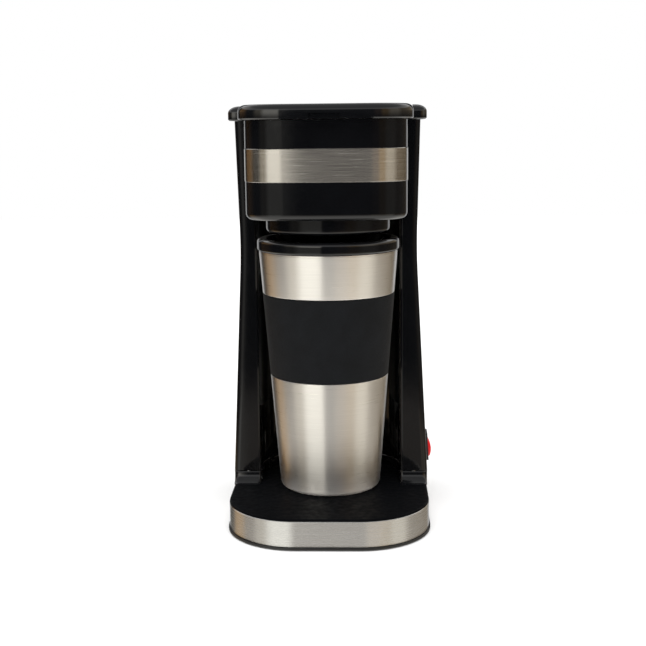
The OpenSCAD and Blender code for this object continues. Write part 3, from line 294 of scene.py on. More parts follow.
def revolved(name, profile, centre_y, segments=144):
    """Solid of revolution about an upright axis, from a closed profile of (radius, height)."""
    data = bmesh.new()
    rows = []
    for radius, z in profile:
        if radius == 0:
            rows.append([data.verts.new((0, centre_y, z))] * segments)
            continue
        rows.append([data.verts.new((radius * math.cos(math.tau * i / segments),
                                     centre_y + radius * math.sin(math.tau * i / segments), z))
                     for i in range(segments)])
    for j, low in enumerate(rows):
        high = rows[(j + 1) % len(rows)]
        for i in range(segments):
            k = (i + 1) % segments
            corners = list(dict.fromkeys((low[i], low[k], high[k], high[i])))
            if len(corners) > 2:
                data.faces.new(corners)
    return new_piece(name, data)


def profile_arc(before, corner, after, radius, steps=6):
    """Rounded corner of a profile, as (radius, height) pairs."""
    return [tuple(p) for p in arc(Vector(before), Vector(corner), Vector(after), radius, steps)]


def block(name, low, high):
    """Box between two corners, used as a cutter."""
    data = bmesh.new()
    bmesh.ops.create_cube(data, size=1)
    for v in data.verts:
        v.co = Vector([low[i] if v.co[i] < 0 else high[i] for i in range(3)])
    return new_piece(name, data)


def apply_modifiers(piece):
    """Turns a piece's modifiers into its mesh."""
    depsgraph = bpy.context.evaluated_depsgraph_get()
    mesh = bpy.data.meshes.new_from_object(piece.evaluated_get(depsgraph))
    piece.modifiers.clear()
    piece.data = mesh
    smooth(mesh)


def combine(piece, tool, operation):
    """Adds a tool to a piece, or cuts it away, and deletes the tool."""
    change = piece.modifiers.new("shape", "BOOLEAN")
    change.operation = operation
    change.solver = "EXACT"
    change.object = tool
    apply_modifiers(piece)
    bpy.data.objects.remove(tool)


def soften(piece, width=MOULD_EDGE, limit=50):
    """Small round on every edge sharper than a limit in degrees."""
    bevel = piece.modifiers.new("edge round", "BEVEL")
    bevel.width = width
    bevel.segments = 2
    bevel.limit_method = "ANGLE"
    bevel.angle_limit = math.radians(limit)
    bevel.harden_normals = True
    bevel.miter_outer = "MITER_ARC"


def fit(piece, body, nodes, slot, finish=None):
    """Mounts a piece on its body, in place of its nodes, with its slot's finish or a finer one."""
    piece.data.materials.clear()
    piece.data.materials.append(MATERIALS[finish or slot])
    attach(piece, body)
    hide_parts(*nodes)


def keep_out_of_reflections(piece):
    """Lets the steel beside a dark piece mirror the studio rather than the piece."""
    piece.visible_glossy = False


def finish_nodes(names, finish):
    """Gives CAD nodes their finish."""
    for name in names:
        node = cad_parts[name]
        node.data.materials.clear()
        node.data.materials.append(MATERIALS[finish])


# ---------- Shared outlines of the maker ----------

def base_corners(inset):
    """Plan of the base's steel band, set in by an inset."""
    base = bpy.context.scene.maker_base
    inset += base.lip
    x, y = BASE_HIGH.x - inset, BASE_HIGH.y - inset
    front, rear = base.front_radius - inset, base.rear_radius - inset
    return [(-x, -y, front), (x, -y, front), (x, y, rear), (-x, y, rear)]


def tower_corners(half_width, inset=0, front=None):
    """C-shaped plan of the tower."""
    tower = bpy.context.scene.maker_tower
    y0 = (tower.pillar_front if front is None else front) + inset
    y1, niche = REAR_HIGH.y - inset, tower.niche_width / 2 + inset
    x = half_width - inset
    inner = max(tower.inner_radius - inset, LEAST_RADIUS)
    outer = max(tower.outer_radius - inset, 2 * LEAST_RADIUS)
    rear, hollow = tower.rear_radius - inset, tower.niche_radius + inset
    back = tower.niche_back + inset
    return [(niche, y0, inner), (x, y0, outer), (x, y1, rear), (-x, y1, rear),
            (-x, y0, outer), (-niche, y0, inner), (-niche, back, hollow), (niche, back, hollow)]


def side_path(z0, z1):
    """Half width against height up the tower's side, rounded at the waist."""
    base, tower = settings("base", "tower")
    foot = Vector((tower.foot_width / 2, base.seam))
    waist = Vector((tower.waist_width / 2, tower.waist_height))
    top = Vector((tower.top_width / 2, REAR_HIGH.z))
    low_slope = (foot.x - waist.x) / (waist.y - foot.y)
    high_slope = (top.x - waist.x) / (top.y - waist.y)
    path = [(foot.x + (foot.y - z0) * low_slope, z0)]
    path += [tuple(p) for p in arc(foot, waist, top, tower.waist_blend, 10)]
    return path + [(top.x + (z1 - top.y) * high_slope, z1)]


def head_corners(inset):
    """Plan of the brew head: full width ahead of the pillars, narrower inside the niche."""
    tower, head = settings("tower", "head")
    gap, small = 0.3 * MM, 0.6 * MM
    x, into = HEAD_HIGH.x - inset, max(inset, 0)
    behind, ahead = head.bow * 0.75, head.bow * 0.25
    side, middle = HEAD_LOW.y + inset + behind, HEAD_LOW.y + inset - ahead
    front, rear = head.front_radius - inset, tower.niche_radius - gap - inset
    step = tower.pillar_front - gap - into
    narrow, back = tower.niche_width / 2 - gap, tower.niche_back - gap - inset
    return [(-x, side, front), (0, middle, x * x / head.bow / 2), (x, side, front),
            (x, step, small), (narrow - into, step, small), (narrow - inset, back, rear),
            (-narrow + inset, back, rear), (-narrow + into, step, small), (-x, step, small)]


def band_path(sheet, low, high):
    """Section of a steel band with rounded edges, as pairs of (inset, height)."""
    edge = BAND_EDGE
    return [(0, low + edge), (0, high - edge), (edge, high), (sheet - edge, high),
            (sheet, high - edge), (sheet, low + edge), (sheet - edge, low), (edge, low)]


# ---------- Materials ----------

# Values between which most of a noise lies
NOISE_RANGE = (0.3, 0.7)


class Nodes:
    """A node tree under construction."""

    def __init__(self, owner):
        owner.use_nodes = True
        self.tree = owner.node_tree

    def node(self, kind, **options):
        """A new node with some of its options set."""
        made = self.tree.nodes.new(kind)
        for key, value in options.items():
            setattr(made, key, value)
        return made

    def link(self, source, target):
        """Joins an output to an input."""
        self.tree.links.new(source, target)

    def between(self, source, start, end, low=0.0, high=1.0):
        """A value that goes from low to high as another goes from start to end."""
        node = self.node("ShaderNodeMapRange")
        for name, number in (("From Min", start), ("From Max", end), ("To Min", low), ("To Max", high)):
            node.inputs[name].default_value = number
        self.link(source, node.inputs["Value"])
        return node.outputs["Result"]


class Finish(Nodes):
    """A material under construction."""

    def __init__(self, name, colour, metallic=0.0, roughness=0.5):
        self.material = bpy.data.materials.new(name)
        super().__init__(self.material)
        self.shader = self.tree.nodes["Principled BSDF"]
        self.colour, self.roughness = tuple(colour), roughness
        self.set("Base Color", (*self.colour, 1))
        self.set("Metallic", metallic)
        self.set("Roughness", roughness)

    def set(self, socket, value):
        """Gives a socket of the shader one value."""
        self.shader.inputs[socket].default_value = value

    def noise(self, scale, detail=3.0, stretch=(1, 1, 1)):
        """Noise over the piece, in cells per metre, stretched by a factor along each axis."""
        place = self.node("ShaderNodeTexCoord")
        mapping = self.node("ShaderNodeMapping")
        mapping.inputs["Scale"].default_value = stretch
        texture = self.node("ShaderNodeTexNoise")
        texture.inputs["Scale"].default_value = scale
        texture.inputs["Detail"].default_value = detail
        self.link(place.outputs["Object"], mapping.inputs["Vector"])
        self.link(mapping.outputs["Vector"], texture.inputs["Vector"])
        return texture.outputs["Fac"]

    def wear(self, source, smoother, rougher):
        """Varies the roughness between two shares of itself."""
        worn = self.between(source, *NOISE_RANGE, self.roughness * smoother, self.roughness * rougher)
        self.link(worn, self.shader.inputs["Roughness"])

    def shade(self, source, darker, lighter):
        """Varies the base colour between two shares of itself."""
        ramp = self.node("ShaderNodeValToRGB")
        ends = ramp.color_ramp.elements
        ends[0].position, ends[1].position = NOISE_RANGE
        ends[0].color = (*(min(c * darker, 1) for c in self.colour), 1)
        ends[1].color = (*(min(c * lighter, 1) for c in self.colour), 1)
        self.link(source, ramp.inputs["Fac"])
        self.link(ramp.outputs["Color"], self.shader.inputs["Base Color"])

    def bump(self, source, distance, strength=1.0):
        """Surface relief of a depth in metres."""
        relief = self.node("ShaderNodeBump")
        relief.inputs["Distance"].default_value = distance
        relief.inputs["Strength"].default_value = strength
        self.link(source, relief.inputs["Height"])
        self.link(relief.outputs["Normal"], self.shader.inputs["Normal"])

    def dress(self, tones, wear, relief):
        """Adds tones (scale, darker, lighter), wear (scale, detail, smoother, rougher) and
        relief (scale, detail, depth), each from its own noise, and gives the material."""
        self.shade(self.noise(tones[0]), *tones[1:])
        self.wear(self.noise(*wear[:2]), *wear[2:])
        self.bump(self.noise(*relief[:2]), *relief[2:])
        return self.material


def gloss_plastic(name, colour, roughness=0.07, ior=1.45):
    """Polished moulding with a faint ripple and fine wipe marks."""
    finish = Finish(name, colour, roughness=roughness)
    finish.set("IOR", ior)
    return finish.dress((40, 0.85, 1.2), (260, 6, 0.75, 1.5), (90, 2, 0.00002, 0.5))


def satin_plastic(name, colour, roughness=0.42):
    """Moulding with the fine grain of an etched tool."""
    finish = Finish(name, colour, roughness=roughness)
    return finish.dress((60, 0.85, 1.2), (500, 4, 0.85, 1.15), (1800, 3, 0.00004))


def brushed_steel(name, colour, roughness, stretch, anisotropy=0.95):
    """Steel brushed round the upright axis, with fine lines that scatter light across them."""
    finish = Finish(name, colour, metallic=1.0, roughness=roughness)
    finish.set("Anisotropic", anisotropy)
    finish.set("Anisotropic Rotation", 0.25)
    tangent = finish.node("ShaderNodeTangent", direction_type="RADIAL", axis="Z")
    finish.link(tangent.outputs["Tangent"], finish.shader.inputs["Tangent"])
    lines = finish.noise(1, 5, stretch)
    finish.shade(lines, 0.95, 1.04)
    finish.wear(finish.noise(1, 4, [factor * 0.6 for factor in stretch]), 0.8, 1.2)
    finish.bump(lines, 0.000001, 0.5)
    return finish.material


def soft_rubber(name, colour):
    """Matte rubber with a fine stipple."""
    finish = Finish(name, colour, roughness=0.72)
    finish.set("IOR", 1.25)
    return finish.dress((70, 0.8, 1.25), (1300, 2, 0.9, 1.1), (2600, 2, 0.00006))


def cast_metal(name, colour, roughness=0.45):
    """Bare or plated metal with a slightly uneven surface."""
    finish = Finish(name, colour, metallic=1.0, roughness=roughness)
    return finish.dress((120, 0.85, 1.1), (400, 4, 0.8, 1.25), (900, 3, 0.00003))


def clear_plastic(name, colour, transmission, roughness=0.2):
    """Plastic or silicone that lets some light through."""
    finish = Finish(name, colour, roughness=roughness)
    finish.set("Transmission Weight", transmission)
    finish.set("Subsurface Weight", 0.2)
    finish.set("Subsurface Radius", (0.002, 0.002, 0.002))
    return finish.dress((50, 0.92, 1.05), (300, 3, 0.8, 1.3), (700, 2, 0.00002))


def woven_mesh(name, colour):
    """Fine woven filter cloth: two crossed sets of wires."""
    finish = Finish(name, colour, metallic=0.8, roughness=0.4)
    place = finish.node("ShaderNodeTexCoord")
    product = finish.node("ShaderNodeMath", operation="MULTIPLY")
    for index, direction in enumerate(("X", "Z")):
        wave = finish.node("ShaderNodeTexWave", bands_direction=direction)
        wave.inputs["Scale"].default_value = 700
        finish.link(place.outputs["Object"], wave.inputs["Vector"])
        finish.link(wave.outputs["Fac"], product.inputs[index])
    finish.shade(product.outputs["Value"], 0.35, 1.1)
    finish.bump(product.outputs["Value"], 0.0001)
    return finish.material


def indicator_red(name, colour):
    """Deep red lamp plastic with a polished skin."""
    finish = Finish(name, colour, roughness=0.16)
    finish.set("Coat Weight", 0.3)
    finish.set("Coat Roughness", 0.05)
    finish.set("Subsurface Weight", 0.35)
    finish.set("Subsurface Radius", (0.004, 0.0008, 0.0008))
    return finish.dress((150, 0.9, 1.15), (400, 3, 0.75, 1.375), (300, 2, 0.00002))


MATERIALS = {}


def make_materials():
    """Every finish of the maker, by the name of its material slot."""
    colours = bpy.context.scene.maker_finishes
    table = {
        "gloss_black": (gloss_plastic, colours.gloss_black),
        "deck_black": (gloss_plastic, colours.deck_black, 0.4, 1.08),
        # Lip under the base: the gloss mouldings' colour, darker than the cover's matte black, as
        # painted shade
        "lip_black": (satin_plastic, colours.gloss_black),
        "matte_black": (satin_plastic, colours.matte_black),
        "rubber_black": (soft_rubber, (0.012, 0.012, 0.012)),
        "grip_rubber": (soft_rubber, colours.grip_rubber),
        "band_steel": (brushed_steel, colours.band_steel, 0.23, (60, 60, 5200)),
        "base_steel": (brushed_steel, colours.base_steel, 0.25, (60, 60, 5200)),
        "mug_steel": (brushed_steel, colours.mug_steel, 0.34, (45, 45, 5200)),
        "screw_steel": (cast_metal, (0.55, 0.55, 0.56), 0.3),
        "cast_aluminium": (cast_metal, (0.7, 0.7, 0.71), 0.5),
        "tank_plastic": (clear_plastic, (0.8, 0.83, 0.85), 0.6),
        "white_plastic": (satin_plastic, (0.75, 0.74, 0.7), 0.35),
        "silicone": (clear_plastic, (0.7, 0.7, 0.66), 0.3, 0.35),
        "filter_mesh": (woven_mesh, (0.62, 0.5, 0.26)),
        "rocker_red": (indicator_red, colours.rocker_red),
    }
    for name, (make, *numbers) in table.items():
        MATERIALS[name] = make(name, *numbers)


# ---------- World ----------

# Panels round the stage that gloss and steel mirror, at table height and at eye level: their two edges
# in degrees from the front, positive to the right, and their colour
LOW_PANELS = [
    (-180, -174, (0.20, 0.20, 0.20)),
    (-168, -134, (0.02, 0.017, 0.012)),
    (-124, -104, (0.185, 0.115, 0.045)),
    (-96, -80, (0.10, 0.08, 0.06)),
    (-70, -60, (0.20, 0.18, 0.15)),
    (-44, -18, (0.37, 0.37, 0.345)),
    (-6, 8, (0.13, 0.115, 0.10)),
    (16, 34, (0.25, 0.215, 0.17)),
    (44, 50, (0.19, 0.165, 0.125)),
    (60, 78, (0.26, 0.24, 0.195)),
    (90, 110, (0.065, 0.05, 0.03)),
    (118, 150, (0.08, 0.065, 0.045)),
    (170, 180, (0.20, 0.20, 0.20)),
]
LEVEL_PANELS = [
    (-180, -150, (0.30, 0.30, 0.30)),
    (-146, -138, (0.02, 0.02, 0.02)),
    (-132, -112, (0.17, 0.10, 0.045)),
    (-98, -78, (0.02, 0.02, 0.018)),
    (-66, -56, (0.30, 0.27, 0.21)),
    (-44, -11.5, (0.98, 0.95, 0.86)),
    (-8, 12, (0.02, 0.02, 0.02)),
    (20, 30, (0.085, 0.06, 0.045)),
    (38, 48, (0.27, 0.18, 0.08)),
    (60, 80, (0.45, 0.40, 0.32)),
    (94, 142, (0.20, 0.16, 0.11)),
    (152, 180, (0.30, 0.30, 0.30)),
]
# Colour and share of the light that comes up from the floor
BOUNCE, BOUNCE_SHARE = (0.60, 0.59, 0.56), 0.85
# Heights, as sines of the elevation, between which the low panels give way to the level ones and the
# panels to the light from the floor, and places along Y between which the wall behind takes over
LEVEL_FROM, BOUNCE_FROM, BACK_FROM = (-0.235, -0.205), (-0.3, -0.65), (0.84, 0.88)
# Brightness against the height: of the panels, of the wall behind and of the strip above
PANEL_HEIGHTS = [(-1, 1.0), (-0.235, 1.0), (-0.205, 0.15), (0.02, 0.15), (0.08, 1.0),
                 (0.3, 1.0), (0.45, 0.5), (0.7, 0), (1, 0)]
BACK_HEIGHTS = [(-1, 0.1), (-0.3, 0.2), (0.05, 0.2), (0.15, 0.05), (0.25, 0.0), (1, 0)]
STRIP_HEIGHTS = [(-1, 0), (0.34, 0), (0.42, 0.34), (0.62, 0.34), (0.7, 0.2), (1, 0.2)]


class Sky(Nodes):
    """The studio's world: a white dome, and the panels that gloss and steel mirror."""

    def ramp(self, source, stops):
        """Colours along a value, from stops of (position, colour)."""
        node = self.node("ShaderNodeValToRGB")
        elements = node.color_ramp.elements
        elements.remove(elements[-1])
        for index, (position, colour) in enumerate(stops):
            element = elements.new(position) if index else elements[0]
            element.position = position
            element.color = (*colour, 1)
        self.link(source, node.inputs["Fac"])
        return node.outputs["Color"]

    def ring(self, turn, panels):
        """Colours of a ring of panels."""
        stops = [(edge, colour) for left, right, colour in panels for edge in (left, right)]
        return self.ramp(turn, [((degrees + 180) / 360, colour) for degrees, colour in stops])

    def levels(self, rise, steps):
        """Brightness at each height."""
        return self.ramp(rise, [((level + 1) / 2, (value,) * 3) for level, value in steps])

    def maths(self, operation, first, second):
        """The result of an output and another output or a number."""
        node = self.node("ShaderNodeMath", operation=operation)
        self.link(first, node.inputs[0])
        self.give(second, node.inputs[1])
        return node.outputs[0]

    def blend(self, way, factor, first, second):
        """Mixes two colours, by a number or by another output."""
        mix = self.node("ShaderNodeMix", data_type="RGBA", blend_type=way)
        self.give(factor, mix.inputs["Factor"])
        self.link(first, mix.inputs[6])
        self.link(second, mix.inputs[7])
        return mix.outputs[2]

    def give(self, source, target):
        """Sets an input to a number, or links an output to it."""
        if isinstance(source, float):
            target.default_value = source
        else:
            self.link(source, target)

    def paint(self, studio):
        """Writes the whole tree."""
        bpy.context.scene.world.cycles.sampling_method = "NONE"
        self.tree.nodes.clear()
        place = self.node("ShaderNodeTexCoord").outputs["Generated"]
        split = self.node("ShaderNodeSeparateXYZ")
        self.link(place, split.inputs[0])
        across, back, up = split.outputs
        heading = self.maths("ARCTAN2", across, self.maths("MULTIPLY", back, -1.0))
        turn = self.between(heading, -math.pi, math.pi)
        rise = self.between(up, -1.0, 1.0)
        low, level = self.ring(turn, LOW_PANELS), self.ring(turn, LEVEL_PANELS)
        front = self.blend("MIX", self.between(up, *LEVEL_FROM), low, level)
        front = self.blend("MULTIPLY", 1.0, front, self.levels(rise, PANEL_HEIGHTS))
        bounce = self.node("ShaderNodeRGB").outputs[0]
        bounce.default_value = (*BOUNCE, 1)
        front = self.blend("MIX", self.between(up, *BOUNCE_FROM, 0.0, BOUNCE_SHARE), front, bounce)
        front = self.blend("ADD", 1.0, front, self.levels(rise, STRIP_HEIGHTS))
        behind = self.levels(rise, BACK_HEIGHTS)
        mirrored = self.node("ShaderNodeBackground")
        mirrored.inputs["Strength"].default_value = studio.panels
        around = self.blend("MIX", self.between(back, *BACK_FROM), front, behind)
        self.link(around, mirrored.inputs["Color"])
        dome = self.node("ShaderNodeBackground")
        dome.inputs["Strength"].default_value = studio.dome
        dome.inputs["Color"].default_value = (1, 1, 1, 1)
        mix = self.node("ShaderNodeMixShader")
        self.link(self.node("ShaderNodeLightPath").outputs["Is Glossy Ray"], mix.inputs["Fac"])
        self.link(dome.outputs[0], mix.inputs[1])
        self.link(mirrored.outputs[0], mix.inputs[2])
        self.link(mix.outputs[0], self.node("ShaderNodeOutputWorld").inputs["Surface"])


# ---------- Operators ----------

class COFFEE_OT_studio(bpy.types.Operator):
    """Set the camera, the floor and the studio light"""
    bl_idname = "coffee.studio"
    bl_label = "Studio"
    bl_options = {"REGISTER", "UNDO"}

    def execute(self, context):
        studio = context.scene.maker_studio
        self.place_camera(context, studio)
        self.lay_floor(studio)
        self.hang_lights(context, studio)
        context.scene.world = bpy.data.worlds.new("studio")
        Sky(context.scene.world).paint(studio)
        context.scene.view_settings.view_transform = "Standard"
        context.scene.cycles.use_denoising = True
        return {"FINISHED"}

    def place_camera(self, context, studio):
        """Camera in front of the maker, and its frame."""
        camera = bpy.data.objects.new("camera", bpy.data.cameras.new("camera"))
        camera.data.lens = studio.focal
        camera.data.sensor_width = studio.sensor
        place = Vector((studio.distance * math.sin(studio.azimuth),
                        MUG_Y - studio.distance * math.cos(studio.azimuth), studio.height))
        heading = Matrix.Rotation(studio.azimuth + studio.aim_left, 4, "Z")
        tilt = Matrix.Rotation(math.pi / 2 - studio.pitch, 4, "X")
        roll = Matrix.Rotation(studio.roll, 4, "Z")
        camera.matrix_world = Matrix.Translation(place) @ heading @ tilt @ roll
        context.collection.objects.link(camera)
        context.scene.camera = camera

    def lay_floor(self, studio):
        """Plain floor under the maker."""
        side = studio.floor_reach
        front = MUG_Y - studio.floor_front
        data = bmesh.new()
        corners = ((-side, front), (side, front), (side, side), (-side, side))
        data.faces.new([data.verts.new((x, y, 0)) for x, y in corners])
        floor = new_piece("floor", data)
        paper = Finish("floor_paper", studio.floor_colour, roughness=0.9)
        paper.set("Specular IOR Level", 0.0)
        paper.shade(paper.noise(8, 2), 0.985, 1.0)
        floor.data.materials.append(paper.material)
        keep_out_of_reflections(floor)

    def hang_lights(self, context, studio):
        """Soft light from overhead, kept out of the reflections."""
        lamp = bpy.data.objects.new("key_light", bpy.data.lights.new("key_light", "SUN"))
        lamp.data.energy = studio.key
        lamp.data.angle = studio.key_spread
        lamp.rotation_euler = (studio.key_tilt, 0, 0)
        lamp.visible_glossy = False
        context.collection.objects.link(lamp)


class COFFEE_OT_base(bpy.types.Operator):
    """Model the base moulding and its steel band, and finish the cover and feet"""
    bl_idname = "coffee.base"
    bl_label = "Base"
    bl_options = {"REGISTER", "UNDO"}

    def execute(self, context):
        base, tower = settings("base", "tower")
        band_top, behind, ledge = base.platform - base.rim, base.sheet + CLEAR, 0.02 * MM
        path = [(behind, BASE_LOW.z), (behind, band_top), (0, band_top + ledge)]
        path += [(base.rim * (1 - c), band_top + base.rim * s) for c, s in quarter(8)[1:]]
        deck = loft("base_moulding", stacked(base_corners, path))
        soften(deck)
        fit(deck, "base", ["base_housing"], "gloss_black", "deck_black")
        keep_out_of_reflections(deck)
        plinth = self.plinth(base, tower)
        soften(plinth)
        fit(plinth, "base", ["plinth"], "gloss_black")
        path = band_path(base.sheet, BASE_LOW.z, BASE_HIGH.z)
        band = loft("base_steel_band", stacked(base_corners, path, 24), looped=True)
        fit(band, "base", ["base_band"], "band_steel", "base_steel")
        lip = self.lip(base)
        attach(lip, "base")
        finish_nodes(["bottom_cover"], "matte_black")
        finish_nodes(["rubber_feet", "cord_grommet"], "rubber_black")
        finish_nodes(["cover_screws"], "screw_steel")
        return {"FINISHED"}

    def lip(self, base):
        """Dark lip round the underside, with rounded edges: partly the bottom cover's edge, and partly a
        dark sheet down to the table that is painted shade for the shadow in the gap under the base.
        """
        low, high, inner = base.lip_height, BASE_LOW.z - CLEAR / 2, base.lip_width - base.lip
        edge, sheet = 0.4 * MM, 0.2 * MM
        path = [(edge - base.lip, low), (-base.lip, low + edge), (-base.lip, high), (0.0, high),
                (0.0, high - sheet), (inner, high - sheet), (inner, low)]
        lip = loft("base_lip_and_shadow", stacked(base_corners, path, 24), looped=True)
        # Painted shade: the lip gets a black darker than the cover's own satin black
        lip.data.materials.append(MATERIALS["lip_black"])
        return lip

    def plinth(self, base, tower):
        """Foot of the tower, with the hollow fillet ahead of the pillars."""
        outer, foot = BASE_HIGH.x - base.lip / 2, tower.foot_width / 2
        front, radius = tower.pillar_front, base.fillet
        rings = [at_height(rounded(tower_corners(outer, 0, front - radius)), base.platform - MM)]
        for c, s in quarter(12):
            plan = tower_corners(outer + (foot - outer) * (1 - c), 0, front - radius * (1 - s))
            rings.append(at_height(rounded(plan), base.platform + radius * (1 - c)))
        rings.append(at_height(rounded(tower_corners(foot)), base.seam))
        return loft("plinth", rings)


class COFFEE_OT_tower(bpy.types.Operator):
    """Model the waisted tower with its mug niche and the collar beside the lid"""
    bl_idname = "coffee.tower"
    bl_label = "Tower"
    bl_options = {"REGISTER", "UNDO"}

    def execute(self, context):
        base, tower = settings("base", "tower")
        seam, split, edge, limit = 0.35 * MM, tower.rear_split, 0.3 * MM, 60
        z0, z1 = base.seam + seam, REAR_HIGH.z
        front = self.moulding("tower_moulding", z0, z1)
        combine(front, block("behind", (-FAR, split, 0), (FAR, FAR, FAR)), "DIFFERENCE")
        soften(front, edge, limit)
        fit(front, "base", ["tower_shell"], "gloss_black")
        keep_out_of_reflections(front)
        rear = self.moulding("rear_moulding", z0, z1)
        combine(rear, block("ahead", (-FAR, -FAR, 0), (FAR, split + CLEAR, FAR)), "DIFFERENCE")
        low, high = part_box("cord_grommet")
        radius, deep = tower.cord_hole, 20 * MM
        hole = revolved("hole", [(0, -deep), (0, deep), (radius, deep), (radius, -deep)], 0, 48)
        hole.matrix_world = (Matrix.Translation((0, high.y, (low.z + high.z) / 2))
                             @ Matrix.Rotation(math.pi / 2, 4, "X"))
        combine(rear, hole, "DIFFERENCE")
        soften(rear, edge, limit)
        fit(rear, "base", ["rear_cover"], "gloss_black")
        collar = self.collar()
        fit(collar, "base", ["top_collar"], "gloss_black")
        finish_nodes(["hinge_pins", "tower_screws"], "screw_steel")
        return {"FINISHED"}

    def moulding(self, name, z0, z1):
        """Waisted C-shaped wall, open at its foot and top."""
        wall = bpy.context.scene.maker_tower.wall
        outside, inside = [[at_height(rounded(tower_corners(half_width, inset)), z)
                            for half_width, z in side_path(z0, z1)] for inset in (0, wall)]
        return loft(name, outside + inside[::-1], looped=True)

    def arm_corners(self, inset):
        """Plan of the collar, set in by an inset."""
        tower = bpy.context.scene.maker_tower
        x, y0, y1 = COLLAR_HIGH.x - inset, COLLAR_LOW.y + inset, COLLAR_HIGH.y - inset
        front, rear = tower.arm_front - inset * 0.5, tower.arm_rear - inset
        return [(-x, y0, front), (x, y0, front), (x, y1, rear), (-x, y1, rear)]

    def collar(self):
        """Arms beside the lid, and the sunk deck with its filling mouth."""
        tower, head = settings("tower", "head")
        under, low, top = COLLAR_LOW.z, REAR_HIGH.z + CLEAR, COLLAR_HIGH.z
        lead = 0.8 * MM
        path = [(lead, low), (0, low + lead)]
        path += [(tower.arm_round * (1 - c), top - head.lid_round * (1 - s)) for c, s in quarter(10)]
        collar = loft("collar_moulding", stacked(self.arm_corners, path))
        half = head.lid_width / 2 + head.arm_gap
        combine(collar, block("cut", (-half, -FAR, low - MM), (half, FAR, top + MM)), "DIFFERENCE")

        def plan(inset):
            return tower_corners(tower.top_width / 2, inset)

        outer, sheet, floor = tower.wall + CLEAR, 1.6 * MM, 2 * MM
        deck = loft("deck", stacked(plan, [(outer, under), (outer, low + CLEAR)]))
        tray = loft("tray", stacked(plan, [(outer + sheet, under + floor), (outer + sheet, top)]))
        combine(deck, tray, "DIFFERENCE")
        combine(collar, deck, "UNION")
        x, y0, y1, front, rear = 49.9 * MM, 53.5 * MM, 70.0 * MM, 5 * MM, 7 * MM
        outline = rounded([(-x, y0, front), (x, y0, front), (x, y1, rear), (-x, y1, rear)])
        mouth = loft("mouth", [at_height(outline, under - MM), at_height(outline, top)])
        combine(collar, mouth, "DIFFERENCE")
        soften(collar)
        return collar


class COFFEE_OT_head(bpy.types.Operator):
    """Model the brew head, its steel band and the outlet, and finish the filter"""
    bl_idname = "coffee.head"
    bl_label = "Brew head"
    bl_options = {"REGISTER", "UNDO"}

    def execute(self, context):
        tower, head = settings("tower", "head")
        band_low, band_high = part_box("head_band")
        low, top, wall = HEAD_LOW.z, HEAD_HIGH.z, tower.wall
        radius, groove, edge = head.round_under, 0.6 * MM, 0.2 * MM
        path = [(radius * (1 - s), low + radius * (1 - c)) for c, s in quarter(8)]
        path += [(0, band_low.z - CLEAR), (groove, band_low.z - CLEAR), (groove, band_high.z + CLEAR),
                 (0, band_high.z + CLEAR), (0, top), (wall, top), (wall, low + wall)]
        shell = loft("head_moulding", stacked(head_corners, path))
        soften(shell, edge)
        fit(shell, "base", ["head_shell"], "gloss_black")
        band = self.band(context, band_low, band_high)
        fit(band, "base", ["head_band"], "band_steel")
        outlet = self.outlet()
        fit(outlet, "base", ["outlet_ring"], "gloss_black")
        finish_nodes(["brew_chamber", "filter_basket", "filter_frame"], "matte_black")
        finish_nodes(["filter_mesh"], "filter_mesh")
        finish_nodes(["head_screws"], "screw_steel")
        return {"FINISHED"}

    def band(self, context, low, high):
        """Steel band, round the part of the head ahead of the pillars."""
        sheet, proud = context.scene.maker_base.sheet, context.scene.maker_head.band_proud
        path = [(inset - proud, z) for inset, z in band_path(sheet, low.z, high.z)]
        band = loft("head_steel_band", stacked(head_corners, path, 24), looped=True)
        back = context.scene.maker_tower.pillar_front - MM
        combine(band, block("cut", (-FAR, back, 0), (FAR, FAR, FAR)), "DIFFERENCE")
        return band

    def outlet(self):
        """Round outlet with a lipped lower edge and the drip hole."""
        low, high, radius = OUTLET_LOW.z, OUTLET_HIGH.z, OUTLET_HIGH.x
        hole, funnel, sheet, foot, edge = 4 * MM, 8 * MM, 2 * MM, 3 * MM, 2.6 * MM
        profile = [(hole, low + 0.6 * MM), (radius - foot, low)]
        profile += profile_arc((radius - foot, low), (radius, low), (radius, high), edge)
        profile += [(radius, high), (radius - sheet, high), (radius - sheet, low + foot),
                    (funnel, low + 1.8 * MM), (hole, low + sheet)]
        return revolved("outlet", profile, MUG_Y)


